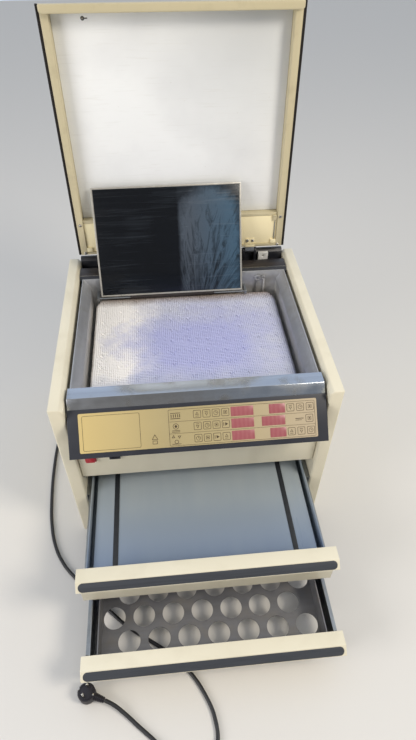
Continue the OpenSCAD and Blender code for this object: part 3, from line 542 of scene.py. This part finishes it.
for row, v in enumerate(row_mid):
    for u0, u1 in ((64, 110), (126, 174) if row == 1 else (142, 175)):
        windows.append(block("window", red_filter, (u0, v - 9.6, -0.3), (u1, v + 9.6, 0.5), 0.35))
label_windows = joined("keypad_windows", windows)
# The slope's foot and head on the housing, as y and z, and the foil's face above it
foot, head, foil_face = (-53, 367), (15, 437), 1.22
slope = math.degrees(math.atan2(head[1] - foot[1], head[0] - foot[0]))
slope_mid = (0, (foot[0] + head[0]) / 2, (foot[1] + head[1]) / 2)
off = (0, -math.sin(math.radians(slope)), math.cos(math.radians(slope)))
for piece in (label_print, label_windows):
    move(piece, degrees=(slope, 0, 0))
    move(piece, at(*[m + foil_face * n for m, n in zip(slope_mid, off)]) / MM)
    fitted(piece, "cabinet", "label_foil")

# Rocker switch and side socket: the rocker is moulded in glossy red, the socket in black.
# Moulded plastic: gloss that is rubbed on the rocker's crown, in 6 mm patches.
red_plastic, shader, place = new_finish("red_moulded_plastic", "#B3202C", 0.3)
patchy(red_plastic, shader, place, 160.0, 3.0, ("#A81A27", "#C4323C"), (0.2, 0.4))
dress("main_switch", red_plastic, 0.8, 3, "red_plastic")
dress("side_socket", moulded_black, 0.6, 2, "black_plastic")

# Basin: folded stainless sheet with a sloped flange, welded at its corners and dulled by wash
# water. Its side flanges are brushed along their length.
# Brushed stainless: a directional grain drawn 1 mm wide, so that it shows, with 40 mm dried
# water marks that change its gloss. The basin's walls below the flange are painted paler for
# sunlight on them.


def brushed(name, along, light, dark, rough_low, rough_high, marked, metallic=1.0, sunlit_walls=0.0):
    """Stainless steel brushed along one axis, with water marks and painted sunlight below the
    flange, by their strength.
    """
    steel, shader, place = new_finish(name, light, 0.4, metallic)
    grain = add(steel, "TexNoise", {"Vector": add(steel, "Mapping", {
        "Vector": place, "Scale": [6 if i == along else 900 for i in range(3)]}),
        "Scale": 1.0, "Detail": 4.0})
    bands = add(steel, "TexNoise", {"Vector": add(steel, "Mapping", {
        "Vector": place, "Scale": [2 if i == along else 60 for i in range(3)]}),
        "Scale": 1.0, "Detail": 5.0})
    marks = add(steel, "TexNoise", {"Vector": place, "Scale": 26.0, "Detail": 7.0})
    tone = add(steel, "Mix", {0: bands, 6: colour(light), 7: colour(dark)}, data_type="RGBA")
    height = add(steel, "SeparateXYZ", {0: place}, take="Z")
    # Painted sunlight: paler below the flange's height, by the given strength
    sunlit_wall_tone = laid_over(steel, tone, "#E9E7E2", height, 0.425, 0.39, sunlit_walls)
    laid_over(steel, sunlit_wall_tone, "#8F887B", marks, 0.5, 0.75, marked, into=shader.inputs["Base Color"])
    add(steel, "MapRange", {0: marks, 1: 0.3, 2: 0.7, 3: rough_low, 4: rough_high},
        into=shader.inputs["Roughness"])
    add(steel, "Bump", {"Strength": 0.3, "Distance": 0.0002, "Height": grain},
        into=shader.inputs["Normal"])
    return steel


basin_steel = brushed("brushed_stainless_basin", 1, "#C9CBCF", "#9B9C9F", 0.4, 0.62, 0.4, 0.8, 0.7)
dress("basin", basin_steel, 0.6, 2, "stainless")

# Front rim: a stainless strip brushed across, folded over the control housing's top edge.
# The rim's steel is tinted blue, a painted reflection of the sky.
rim_steel = brushed("brushed_stainless_rim", 0, "#CBD2DC", "#A3A9B1", 0.16, 0.3, 0.6)
dress("front_rim", rim_steel, 0.7, 3, "stainless")

# Spray nozzle: two pressed rings on bent pipes, in plain stainless.
dress("spray_nozzle", basin_steel, 0.3, 1, "stainless", smooth=50)

# Brush: rows of off-white nylon bristle tufts set in a grey plastic board. One tuft in each ninth
# column and eighth row is thinner and lower, which gives the grid of small dots. Washing has
# worn the edges down.
# Grey plastic board: matt, stained in 50 mm clouds.
board_grey, shader, place = new_finish("grey_board_plastic", "#55606A", 0.6)
patchy(board_grey, shader, place, 20.0, 4.0, ("#46505A", "#667079"))
paint(board_grey, "brush_board")
# Nylon bristle: matt off-white at the left, with painted shade that greys it towards the right,
# lilac over the middle from washed-out dye and painted shade, bluish grey at the front, and cream
# to brown at the rear edge where old wash water dried and a painted shadow of the carrier falls.
bristles, shader, place = new_finish("nylon_bristle", "#D9D5E4", 0.8, Specular_IOR_Level=0.3)
bed_low, bed_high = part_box("bristle_bed")
bed_mid = [(a + b) / 2 for a, b in zip(bed_low, bed_high)]
# The lilac middle is washed-out dye and painted shade
lilac_x, lilac_y, lilac_shift = 0.25, 0.2, 0.12
spread = add(bristles, "Mapping", {"Vector": place, "Location": (
    -bed_mid[0] / lilac_x - lilac_shift, -bed_mid[1] / lilac_y + lilac_shift, 0),
    "Scale": (1 / lilac_x, 1 / lilac_y, 0)})
dye_and_shade_middle = add(bristles, "TexGradient", {"Vector": spread}, take=1, gradient_type="SPHERICAL")
mottle = add(bristles, "TexNoise", {"Vector": place, "Scale": 11.0, "Detail": 6.0, "Roughness": 0.65})
axes = add(bristles, "SeparateXYZ", {0: place}).node.outputs


def toned(under, code, reach, low, high):
    """Lays a tone over a colour where a ramp and the mottle together pass a level; the tones are
    stains and painted shade.
    """
    level = add(bristles, "Math", {0: reach, 1: mottle}, operation="ADD")
    return laid_over(bristles, under, code, level, low, high)


# Painted shade: grey-lilac over the bed from its left part rightwards
shade_rightward = add(bristles, "MapRange", {0: axes["X"], 1: -0.17, 2: -0.05})
forward = add(bristles, "MapRange", {0: axes["Y"], 1: bed_low[1], 2: bed_low[1] + 0.13,
                                     3: 0.8, 4: -0.3})
# The rear edge's brown is dried wash water and a painted shadow of the carrier
rear_stain_and_shadow = add(bristles, "MapRange", {0: axes["Y"], 1: bed_high[1] - 0.06,
                                      2: bed_high[1] - 0.006, 3: -0.5, 4: 0.9})
tone = toned(colour("#FFFBF6"), "#CFD1E0", shade_rightward, 0.7, 1.3)
tone = toned(tone, "#BABDE4", dye_and_shade_middle, 0.6, 1.15)
tone = toned(tone, "#B8BFD3", forward, 0.6, 1.3)
tone = toned(tone, "#96877B", rear_stain_and_shadow, 0.5, 1.3)
bristles.node_tree.links.new(tone, shader.inputs["Base Color"])
tuft_across, tuft_deep, tuft_h, tuft_reach = 4.6, 4.9, 26, 2.2
count_x, count_y = 99, 73
mid_x, mid_y = (count_x - 1) / 2, (count_y - 1) / 2
tufts = turned("bristle_tufts", bristles, [(1.5, -tuft_h), (2.75, 0)], sides=5)
move(tufts, (-mid_x * tuft_across, -mid_y * tuft_deep, 0), (0, 0, 12))
for axis, count, step in ((0, count_x, tuft_across), (1, count_y, tuft_deep)):
    rows = tufts.modifiers.new("rows", "ARRAY")
    rows.count = count
    rows.use_relative_offset = False
    rows.use_constant_offset = True
    rows.constant_offset_displace = [step * MM if i == axis else 0 for i in range(3)]
    bpy.ops.object.modifier_apply(modifier=rows.name)
bpy.ops.object.mode_set(mode="EDIT")
bpy.ops.mesh.select_mode(type="VERT")
bpy.ops.mesh.select_all(action="DESELECT")
bpy.ops.object.mode_set(mode="OBJECT")
# Tufts past the bed's rounded corners are taken out, and the others lean and stand a little
# unevenly. The outer 9 mm are worn, and the dots' tufts taper
corner, half_x, half_y, worn_wide, worn_deep = 26, 228, 178, 9, 1.6
dot_x, dot_y, dot_drop, dot_taper = 9, 8, 3, 0.3
random.seed(7)
lift = {}
for vertex in tufts.data.vertices:
    x, y, z = [c / MM for c in vertex.co]
    column, line = round(x / tuft_across + mid_x), round(y / tuft_deep + mid_y)
    tx, ty = (column - mid_x) * tuft_across, (line - mid_y) * tuft_deep
    over_x = abs(tx) + tuft_reach - (half_x - corner)
    over_y = abs(ty) + tuft_reach - (half_y - corner)
    edge = corner - (math.hypot(over_x, over_y) if over_x > 0 and over_y > 0
                     else max(over_x, over_y))
    dot = column % dot_x == dot_x // 2 and line % dot_y == dot_y // 2
    vertex.select = edge < 0
    if z > -tuft_h / 2:
        if (column, line) not in lift:
            lift[column, line] = (random.uniform(-0.8, 0) - dot_drop * dot,
                                  random.uniform(-0.4, 0.4), random.uniform(-0.4, 0.4))
        down, lean_x, lean_y = lift[column, line]
        if dot:
            lean_x, lean_y = dot_taper * (tx - x), dot_taper * (ty - y)
        crown = -worn_deep * max(0, 1 - edge / worn_wide) ** 2
        vertex.co += Vector((lean_x, lean_y, down + crown + random.uniform(-0.4, 0))) * MM
bpy.ops.object.mode_set(mode="EDIT")
bpy.ops.mesh.delete(type="VERT")
bpy.ops.object.mode_set(mode="OBJECT")
move(tufts, (bed_mid[0] / MM, bed_mid[1] / MM, bed_high[2] / MM))
fitted(tufts, "cabinet", "bristle", "bristle_bed", smooth=25)

# Rear shelf, hinge rail, floor tie and hinge brackets: black enamelled steel sheet with a
# brown enamelled cover plate on the shelf. The lid's hinges and its switch stand in the well.
# Black stove enamel: satin, with a haze of dust in 15 mm patches and fine scratches.
black_enamel, shader, place = new_finish("black_stove_enamel", "#1E2027", 0.4)
dust = add(black_enamel, "TexNoise", {"Vector": place, "Scale": 60.0, "Detail": 6.0})
scratches = add(black_enamel, "TexNoise", {"Vector": add(black_enamel, "Mapping", {
    "Vector": place, "Scale": (8, 300, 300)}), "Scale": 1.0, "Detail": 5.0})
hazed = add(black_enamel, "Mix", {0: dust, 6: colour("#17181D"), 7: colour("#2D2F36")},
            data_type="RGBA")
laid_over(black_enamel, hazed, "#6B6A6A", scratches, 0.62, 0.74, 0.35,
          into=shader.inputs["Base Color"])
add(black_enamel, "MapRange", {0: dust, 3: 0.3, 4: 0.6}, into=shader.inputs["Roughness"])
for node in ("rear_shelf", "hinge_rail", "floor_tie", "hinge_brackets"):
    dress(node, black_enamel, 0.7, 2, "dark_steel")
# Brown stove enamel: as the black one, warmer and more worn.
brown_enamel, shader, place = new_finish("brown_stove_enamel", "#4A3C34", 0.42)
wear = add(brown_enamel, "TexNoise", {"Vector": add(brown_enamel, "Mapping", {
    "Vector": place, "Scale": (9, 60, 60)}), "Scale": 1.0, "Detail": 7.0})
laid_over(brown_enamel, colour("#191514"), "#302825", wear, 0.35, 0.7,
          into=shader.inputs["Base Color"])
add(brown_enamel, "MapRange", {0: wear, 3: 0.3, 4: 0.55}, into=shader.inputs["Roughness"])
cover = block("shelf_cover", brown_enamel, (-264, 452.5, 449.9), (264, 486.6, 450.9), 0.4)
# A thin nickel strip along the cover's front edge stands for a painted highlight on that edge
highlight_strip = block("shelf_edge_highlight", nickel, (-264, 451.6, 449.7), (264, 452.5, 451.0), 0.3)
for piece in (cover, highlight_strip):
    move(piece, (0, front_y / MM, 0))
    fitted(piece, "cabinet", "dark_steel")

# Slides, drawer side members, knuckles, lugs, deck, lamp housing and drain spigot: zinc plated
# steel, pressed or turned.
# Zinc plate: grey satin metal with a 6 mm spangle and dull fingerprints.
zinc_plate, shader, place = new_finish("zinc_plated_steel", "#A3A7AA", 0.4, 1.0)
spangle = add(zinc_plate, "TexVoronoi", {"Vector": place, "Scale": 160.0})
patchy(zinc_plate, shader, place, 45.0, 5.0, ("#B4B8BB", "#7F8385"))
add(zinc_plate, "MapRange", {0: spangle, 3: 0.3, 4: 0.5}, into=shader.inputs["Roughness"])
for node in ("lower_sides", "lid_knuckles", "carrier_lugs", "upper_channels", "lower_channels",
             "upper_runners", "lower_runners", "middle_deck", "lamp_housing", "drain_spigot"):
    dress(node, zinc_plate, 0.35, 1, "zinc_steel")

# Lid switch and three cable clips in the well: white moulded plastic on the well's floor.
# White plastic: gloss gone dull, a little grey in 10 mm patches.
white_plastic, shader, place = new_finish("white_moulded_plastic", "#EDEDE8", 0.4)
patchy(white_plastic, shader, place, 100.0, 4.0, ("#FAFAF7", "#E4E4DF"))
dress("lid_switch", white_plastic, 0.8, 2, "white_plastic")
clip = turned("cable_clip", white_plastic, [(4.2, 0), (4.2, 5), (3.4, 6.4), (1.8, 6.8)], sides=20)
clips = joined("cable_clips", [again(clip, spot) for spot in (
    (191, 500, 430), (198, 494, 430), (236, 497, 430))])
move(clips, (0, front_y / MM, 0))
fitted(clips, "cabinet", "white_plastic")
bpy.data.objects.remove(clip)

# Pan-head screws: nickel plated, with a cross recess pressed in. This one is the pattern that
# the lid and the rear panel copy.
screw = turned("pan_head_screw", nickel, [(4, 0), (4, 0.9), (3.3, 1.9), (2, 2.4), (1.1, 2.45)],
               sides=20)
recess = [block("cross_bar", black_enamel, (-2, -0.4, 2.1), (2, 0.4, 2.6), 0.05),
          block("cross_bar", black_enamel, (-0.4, -2, 2.1), (0.4, 2, 2.62), 0.05)]
screw = joined("pan_head_screw", [screw] + recess)

# Lid: a cream enamelled steel shell with a proud front lip, a white liner sheet, a foot panel and
# dark vinyl trims on its sides. Its added pieces are modelled closed and level, then swung open.
# Lid enamel: as the cabinet's outside, in 170 mm clouds, in two copies: a darker one with
# painted shade for the inner frame, lip and clip, and a paler one with painted sunlight for the
# foot panel and hinge leaves.


def clouded_enamel(name, light, dark, soil):
    """Stove enamel from light to dark in clouds, with smears of soil."""
    enamel, shader, place = new_finish(name, light, 0.4)
    clouds = add(enamel, "TexNoise", {"Vector": place, "Scale": 6.0, "Detail": 4.0})
    aged = add(enamel, "Mix", {0: clouds, 6: colour(light), 7: colour(dark)}, data_type="RGBA")
    smears = add(enamel, "TexNoise", {"Vector": place, "Scale": 30.0, "Detail": 8.0})
    laid_over(enamel, aged, soil, smears, 0.58, 0.85, 0.4, into=shader.inputs["Base Color"])
    add(enamel, "MapRange", {0: smears, 3: 0.3, 4: 0.5}, into=shader.inputs["Roughness"])
    peel = add(enamel, "TexNoise", {"Vector": place, "Scale": 650.0, "Detail": 1.0})
    add(enamel, "Bump", {"Strength": 0.12, "Distance": 0.0002, "Height": peel},
        into=shader.inputs["Normal"])
    return enamel


# One cream enamel as a darker copy with painted shade and a paler copy with painted sunlight
shaded_lid_enamel = clouded_enamel("shaded_stove_enamel", "#D3C8A8", "#C1B692", "#978B6B")
sunlit_lid_enamel = clouded_enamel("sunlit_stove_enamel", "#FFF4CB", "#F6E7BB", "#C9BB90")
# The faces that look to the rear, outside the open lid, keep the cabinet's cream; the rest take the
# painted shade
for node in ("lid_shell", "lid_cross_strip"):
    shell = dress(node, shaded_lid_enamel, 1.2, 3, "cream_enamel")
    shell.data.materials.append(cream_enamel)
    for face in shell.data.polygons:
        face.material_index = 1 if face.normal.y > 0.5 else 0
dress("lid_foot_panel", sunlit_lid_enamel, 1, 2, "cream_enamel")
dress("lid_lip", shaded_lid_enamel, 2.4, 4, "cream_enamel")
# Vinyl trim: dark brown-black, satin, with lengthwise rub marks of 2 mm.
trim_vinyl, shader, place = new_finish("dark_trim_vinyl", "#1C1814", 0.55, Specular_IOR_Level=0.3)
patchy(trim_vinyl, shader, add(trim_vinyl, "Mapping", {"Vector": place, "Scale": (500, 500, 20)}),
       1.0, 4.0, ("#0E0C0A", "#221C17"), (0.45, 0.65))
dress("lid_trims", trim_vinyl, 1.5, 3, "black_rubber")
# Liner: white high-pressure laminate, semi-matt, with 150 mm grey smudges, a broad painted shade at
# its upper right, fine scratches and a few small pits.
liner_white, shader, place = new_finish("white_laminate_sheet", "#ECECE8", 0.45)
smudge = add(liner_white, "TexNoise", {"Vector": place, "Scale": 6.0, "Detail": 6.0})
soft = laid_over(liner_white, colour("#F6F8F8"), "#E6E8E9", smudge, 0.35, 0.7)
# Painted shade: a broad grey at the upper right
shade_x, shade_z, shade_wide = 0.17, 0.98, 0.3
hazed = add(liner_white, "TexGradient", {"Vector": add(liner_white, "Mapping", {
    "Vector": place, "Location": (-shade_x / shade_wide, 0, -shade_z / shade_wide),
    "Scale": (1 / shade_wide, 0, 1 / shade_wide)})}, take=1, gradient_type="SPHERICAL")
soft = add(liner_white, "Mix", {
    0: add(liner_white, "Math", {0: hazed, 1: 0.9}, operation="MULTIPLY"),
    6: soft, 7: colour("#C6C9CA")}, data_type="RGBA")
scratch = add(liner_white, "TexNoise", {"Vector": add(liner_white, "Mapping", {
    "Vector": place, "Scale": (14, 14, 260), "Rotation": (0, 0.12, 0)}), "Scale": 1.0,
    "Detail": 6.0})
pits = add(liner_white, "TexVoronoi", {"Vector": place, "Scale": 24.0})
scratched = laid_over(liner_white, soft, "#CFCEC8", scratch, 0.58, 0.76, 0.24)
add(liner_white, "Mix", {0: add(liner_white, "MapRange", {0: pits, 2: 0.04, 3: 0.4, 4: 0.0}),
                         6: scratched, 7: colour("#B4AC9F")},
    into=shader.inputs["Base Color"], data_type="RGBA")
add(liner_white, "MapRange", {0: scratch, 3: 0.34, 4: 0.58}, into=shader.inputs["Roughness"])
dress("lid_liner", liner_white, 0.8, 2, "white_plastic")

hinge_line, lid_open = (0, 508, 470), 93.64


def on_lid(piece, slot):
    """Swings a piece that was modelled on the closed lid, hinge axis at its origin, open."""
    move(piece, degrees=(-lid_open, 0, 0))
    move(piece, at(*hinge_line) / MM)
    return fitted(piece, "lid", slot)


# Liner's keyhole with its screw, a clip with its rod on the foot panel, and the hinge leaves
keyhole_x, keyhole_y = -179.5, -517.5
keyhole = joined("liner_keyhole", [
    turned("keyhole_eye", black_enamel, [(3.8, 0), (3.8, 0.25), (3.4, 0.4)], sides=28),
    block("keyhole_slot", black_enamel, (2, -1, 0), (9.5, 1, 0.4), 0.15)])
move(keyhole, (keyhole_x, keyhole_y, 13.3), (180, 0, 0))
on_lid(keyhole, "white_plastic")
keyhole_screw = turned("keyhole_screw", nickel, [(1.9, 0), (1.9, 1.2), (1.3, 1.8)], sides=20)
move(keyhole_screw, (keyhole_x, keyhole_y, 13), (180, 0, 0))
on_lid(keyhole_screw, "zinc_steel")
holder = joined("foot_clip", [
    block("clip_base", shaded_lid_enamel, (230, -96, -7.6), (240.5, -81, -4.6), 0.8),
    block("clip_lip", shaded_lid_enamel, (230, -96, -9.4), (240.5, -92.5, -6.8), 0.8)])
on_lid(holder, "cream_enamel")
rod = turned("clip_rod", zinc_plate, [(0.6, 0), (1, 0.5), (1, 51), (0.6, 51.5)], sides=12)
move(rod, (236.5, -82, -6.2), (-90, 0, 0))
on_lid(rod, "zinc_steel")
leaves = []
for leaf, stop in ((-175, -235), (175, 235)):
    leaves += [
        block("hinge_leaf", sunlit_lid_enamel, (leaf - 12, -17.6, -9.9), (leaf + 12, -11.6, -8.6), 0.3),
        block("hinge_leaf", sunlit_lid_enamel, (leaf - 12, -34, -6.1), (leaf + 12, -17.9, -4.6), 0.4),
        block("foot_stop", sunlit_lid_enamel, (stop - 7, -30, -8.6), (stop + 7, -19, -4.6), 0.8)]
on_lid(joined("hinge_leaves", leaves), "cream_enamel")
lid_screws = [again(screw, spot, (180, 0, 0)) for spot in (
    (-247, -16, -8.7), (247, -16, -8.7), (-180, -28, -6), (-168, -28, -6), (168, -28, -6),
    (182, -28, -6), (-249, -92, -8.7), (249, -92, -8.7))]
on_lid(joined("lid_screws", lid_screws), "zinc_steel")

# Plate carrier: a sheet of dark glossy film on a pale aluminium-edged panel, hinged at the rear
# of the basin on a dark brown tube. Plates are stuck to it and pressed on the brush.
# Dark film: near black with a smooth gloss. Dried wash water leaves long level smears on its
# left half. Its right half carries a painted reflection of a tree crown in blue-grey, with a round
# top, that parts upwards from one point into streaks 6 to 20 mm wide.
carrier_film, shader, place = new_finish("dark_carrier_film", "#12151B", 0.16,
                                         Specular_IOR_Level=0.3)
level_smears = add(carrier_film, "TexNoise", {"Vector": add(carrier_film, "Mapping", {
    "Vector": place, "Scale": (5, 110, 110), "Rotation": (0, 0.1, 0)}), "Scale": 1.0,
    "Detail": 5.0, "Distortion": 1.4})
smear_spots = add(carrier_film, "TexNoise", {"Vector": place, "Scale": 9.0, "Detail": 2.0})
smeared = laid_over(carrier_film, colour("#10141A"), "#3B424A", add(carrier_film, "Math", {
    0: level_smears, 1: smear_spots}, operation="MULTIPLY"), 0.27, 0.46, 0.3)
ragged = add(carrier_film, "TexNoise", {"Vector": place, "Scale": 45.0, "Detail": 8.0,
                                        "Roughness": 0.7})
across = add(carrier_film, "SeparateXYZ", {0: place}).node.outputs
# Painted reflection of a tree crown on the film's right half
reflection_mid, reflection_root, reflection_radius = (0.066, 0.566), (0.03, 0.33), 0.088
over = add(carrier_film, "Math", {0: add(carrier_film, "Math", {
    0: across["Z"], 1: reflection_mid[1]}, operation="SUBTRACT"), 1: 0.0}, operation="MAXIMUM")
reach = add(carrier_film, "VectorMath", {0: add(carrier_film, "CombineXYZ", {
    "X": add(carrier_film, "Math", {0: across["X"], 1: reflection_mid[0]}, operation="SUBTRACT"),
    "Z": over})}, operation="LENGTH")
frayed = add(carrier_film, "Math", {0: ragged, 1: 0.05, 2: reach}, operation="MULTIPLY_ADD")
round_top = add(carrier_film, "MapRange", {0: frayed, 1: reflection_radius, 2: reflection_radius + 0.028,
                                           3: 1.0, 4: 0.1})
left_edge = add(carrier_film, "MapRange", {0: add(carrier_film, "Math", {
    0: ragged, 1: 0.012, 2: across["X"]}, operation="MULTIPLY_ADD"), 1: -0.006, 2: 0.001})
from_root = [add(carrier_film, "Math", {0: across[axis], 1: root}, operation="SUBTRACT")
             for axis, root in zip("XZ", reflection_root)]
fan = add(carrier_film, "Math", {0: from_root[0], 1: from_root[1]}, operation="ARCTAN2")
streaks = add(carrier_film, "TexNoise", {"Vector": add(carrier_film, "CombineXYZ", {
    "X": add(carrier_film, "Math", {0: fan, 1: 15.0}, operation="MULTIPLY"),
    "Y": add(carrier_film, "Math", {0: from_root[1], 1: 14.0}, operation="MULTIPLY")}),
    "Scale": 1.0, "Detail": 10.0, "Roughness": 0.75, "Distortion": 1.1})
filled = add(carrier_film, "MapRange", {0: across["Z"], 1: 0.4, 2: 0.62, 3: -0.04, 4: 0.18})
branch_streaks = add(carrier_film, "MapRange", {0: add(carrier_film, "Math", {
    0: streaks, 1: filled}, operation="ADD"), 1: 0.42, 2: 0.62, 3: 0.1, 4: 1.0})
painted_reflection = add(carrier_film, "Math", {0: add(carrier_film, "Math", {
    0: round_top, 1: left_edge}, operation="MULTIPLY"), 1: branch_streaks}, operation="MULTIPLY")
reflection_colour = laid_over(carrier_film, colour("#4D5661"), "#466075", across["X"], 0.02, 0.13)
add(carrier_film, "Mix", {0: painted_reflection, 6: smeared, 7: reflection_colour},
    into=shader.inputs["Base Color"], data_type="RGBA")
add(carrier_film, "MapRange", {0: level_smears, 1: 0.4, 2: 0.75, 3: 0.14, 4: 0.34},
    into=shader.inputs["Roughness"])
dress("carrier_sheet", carrier_film, 0.5, 2, "carrier_film")
# Pale aluminium: satin anodised, dirtied in 15 mm patches.
pale_edge, shader, place = new_finish("satin_anodised_aluminium", "#C9C8C0", 0.4, 0.6)
patchy(pale_edge, shader, place, 65.0, 5.0, ("#DAD9D2", "#9C978B"), (0.3, 0.55))
dress("carrier_frame", pale_edge, 0.7, 2, "carrier_edge")
dress("carrier_bar", brown_enamel, 0.3, 1, "brown_steel")

# Upper drawer: a folded pan with an aluminium vacuum bed, both grey-blue enamelled, and two black
# rubber seals laid in the bed. A plate lies between them under the lamps.
# Grey-blue enamel: smooth gloss, slightly streaked front to back where plates have slid, with a
# painted reflection that makes it darker and bluer towards the front and paler towards the rear.
bed_enamel, shader, place = new_finish("grey_blue_enamel", "#93A2AB", 0.3)
streaks = add(bed_enamel, "TexNoise", {"Vector": add(bed_enamel, "Mapping", {
    "Vector": place, "Scale": (26, 3, 9)}), "Scale": 1.0, "Detail": 7.0})
# Painted reflection: darker blue at the front, paler at the rear
painted_bed_reflection = laid_over(bed_enamel, colour("#5A6E8E"), "#A4ADB0",
                 add(bed_enamel, "SeparateXYZ", {0: place}, take="Y"), -0.33, -0.1)
laid_over(bed_enamel, painted_bed_reflection, "#8593A1", streaks, 0.3, 0.75, 0.3, into=shader.inputs["Base Color"])
add(bed_enamel, "MapRange", {0: streaks, 3: 0.22, 4: 0.42}, into=shader.inputs["Roughness"])
dress("upper_pan", bed_enamel, 0.5, 2, "grey_enamel")
dress("vacuum_bed", bed_enamel, 0.8, 2, "grey_enamel")
# Seal rubber: matt black, chalky in 8 mm patches.
seal_rubber, shader, place = new_finish("black_seal_rubber", "#202428", 0.6)
patchy(seal_rubber, shader, place, 120.0, 4.0, ("#14171B", "#282C31"))
dress("bed_seals", seal_rubber, 0.5, 2, "black_rubber")
# Lamp glass: white phosphor behind glass, faintly banded along the tube, 30 mm.
lamp_glass, shader, place = new_finish("phosphor_lamp_glass", "#E4EAF0", 0.2)
patchy(lamp_glass, shader, add(lamp_glass, "Mapping", {"Vector": place, "Scale": (33, 2, 2)}),
       1.0, 2.0, ("#EAF0F6", "#CFD6E2"))
dress("lamp_tubes", lamp_glass, 0.8, 2, "lamp_glass")

# Lower drawer's tray: stainless sheet punched with rows of round holes, dulled to a dark grey
# by years of warm damp air.
tray_steel = brushed("dulled_stainless_tray", 0, "#8B8C91", "#72706F", 0.45, 0.65, 0.45, 0.7)
paint(tray_steel, "perforated_tray")

# Cable gland: a hexagonal nut on a flange with a ribbed tapered strain relief, black moulded. It
# is screwed into the rear panel where the mains cable leaves.
rear_face = 527
gland = joined("cable_gland_moulding", [
    turned("gland_flange", moulded_black, [(11.2, 0), (12, 0.8), (12, 4.2), (11.2, 5)], sides=40),
    turned("gland_nut", moulded_black, [(10, 4.8), (10, 11), (9, 12)], sides=6),
    turned("gland_relief", moulded_black, [(7.5, 11.8)] + ribbed(
        [(7.4, 13), (7.3, 15.2), (6.3, 15.5), (6.2, 16.4)], (0.23, 0.23, 0.2, 0.2), 3.5, 8),
        sides=28)])
move(gland, degrees=(-90, 0, 0))
move(gland, at(route[0][0], rear_face, route[0][2]) / MM)
fitted(gland, "cabinet", "black_plastic", "cable_gland")

# Rear panel's screws: three rows of four pan heads that hold it to the side panels, the deck and
# the floor tie.
rear_screws = joined("rear_screws", [again(screw, (x, 0, z), (-90, 0, 0))
                                     for z in (42, 240, 436) for x in (-252, -84, 84, 252)])
move(rear_screws, (0, front_y / MM + rear_face, 0))
fitted(rear_screws, "cabinet", "zinc_steel")
bpy.data.objects.remove(screw)
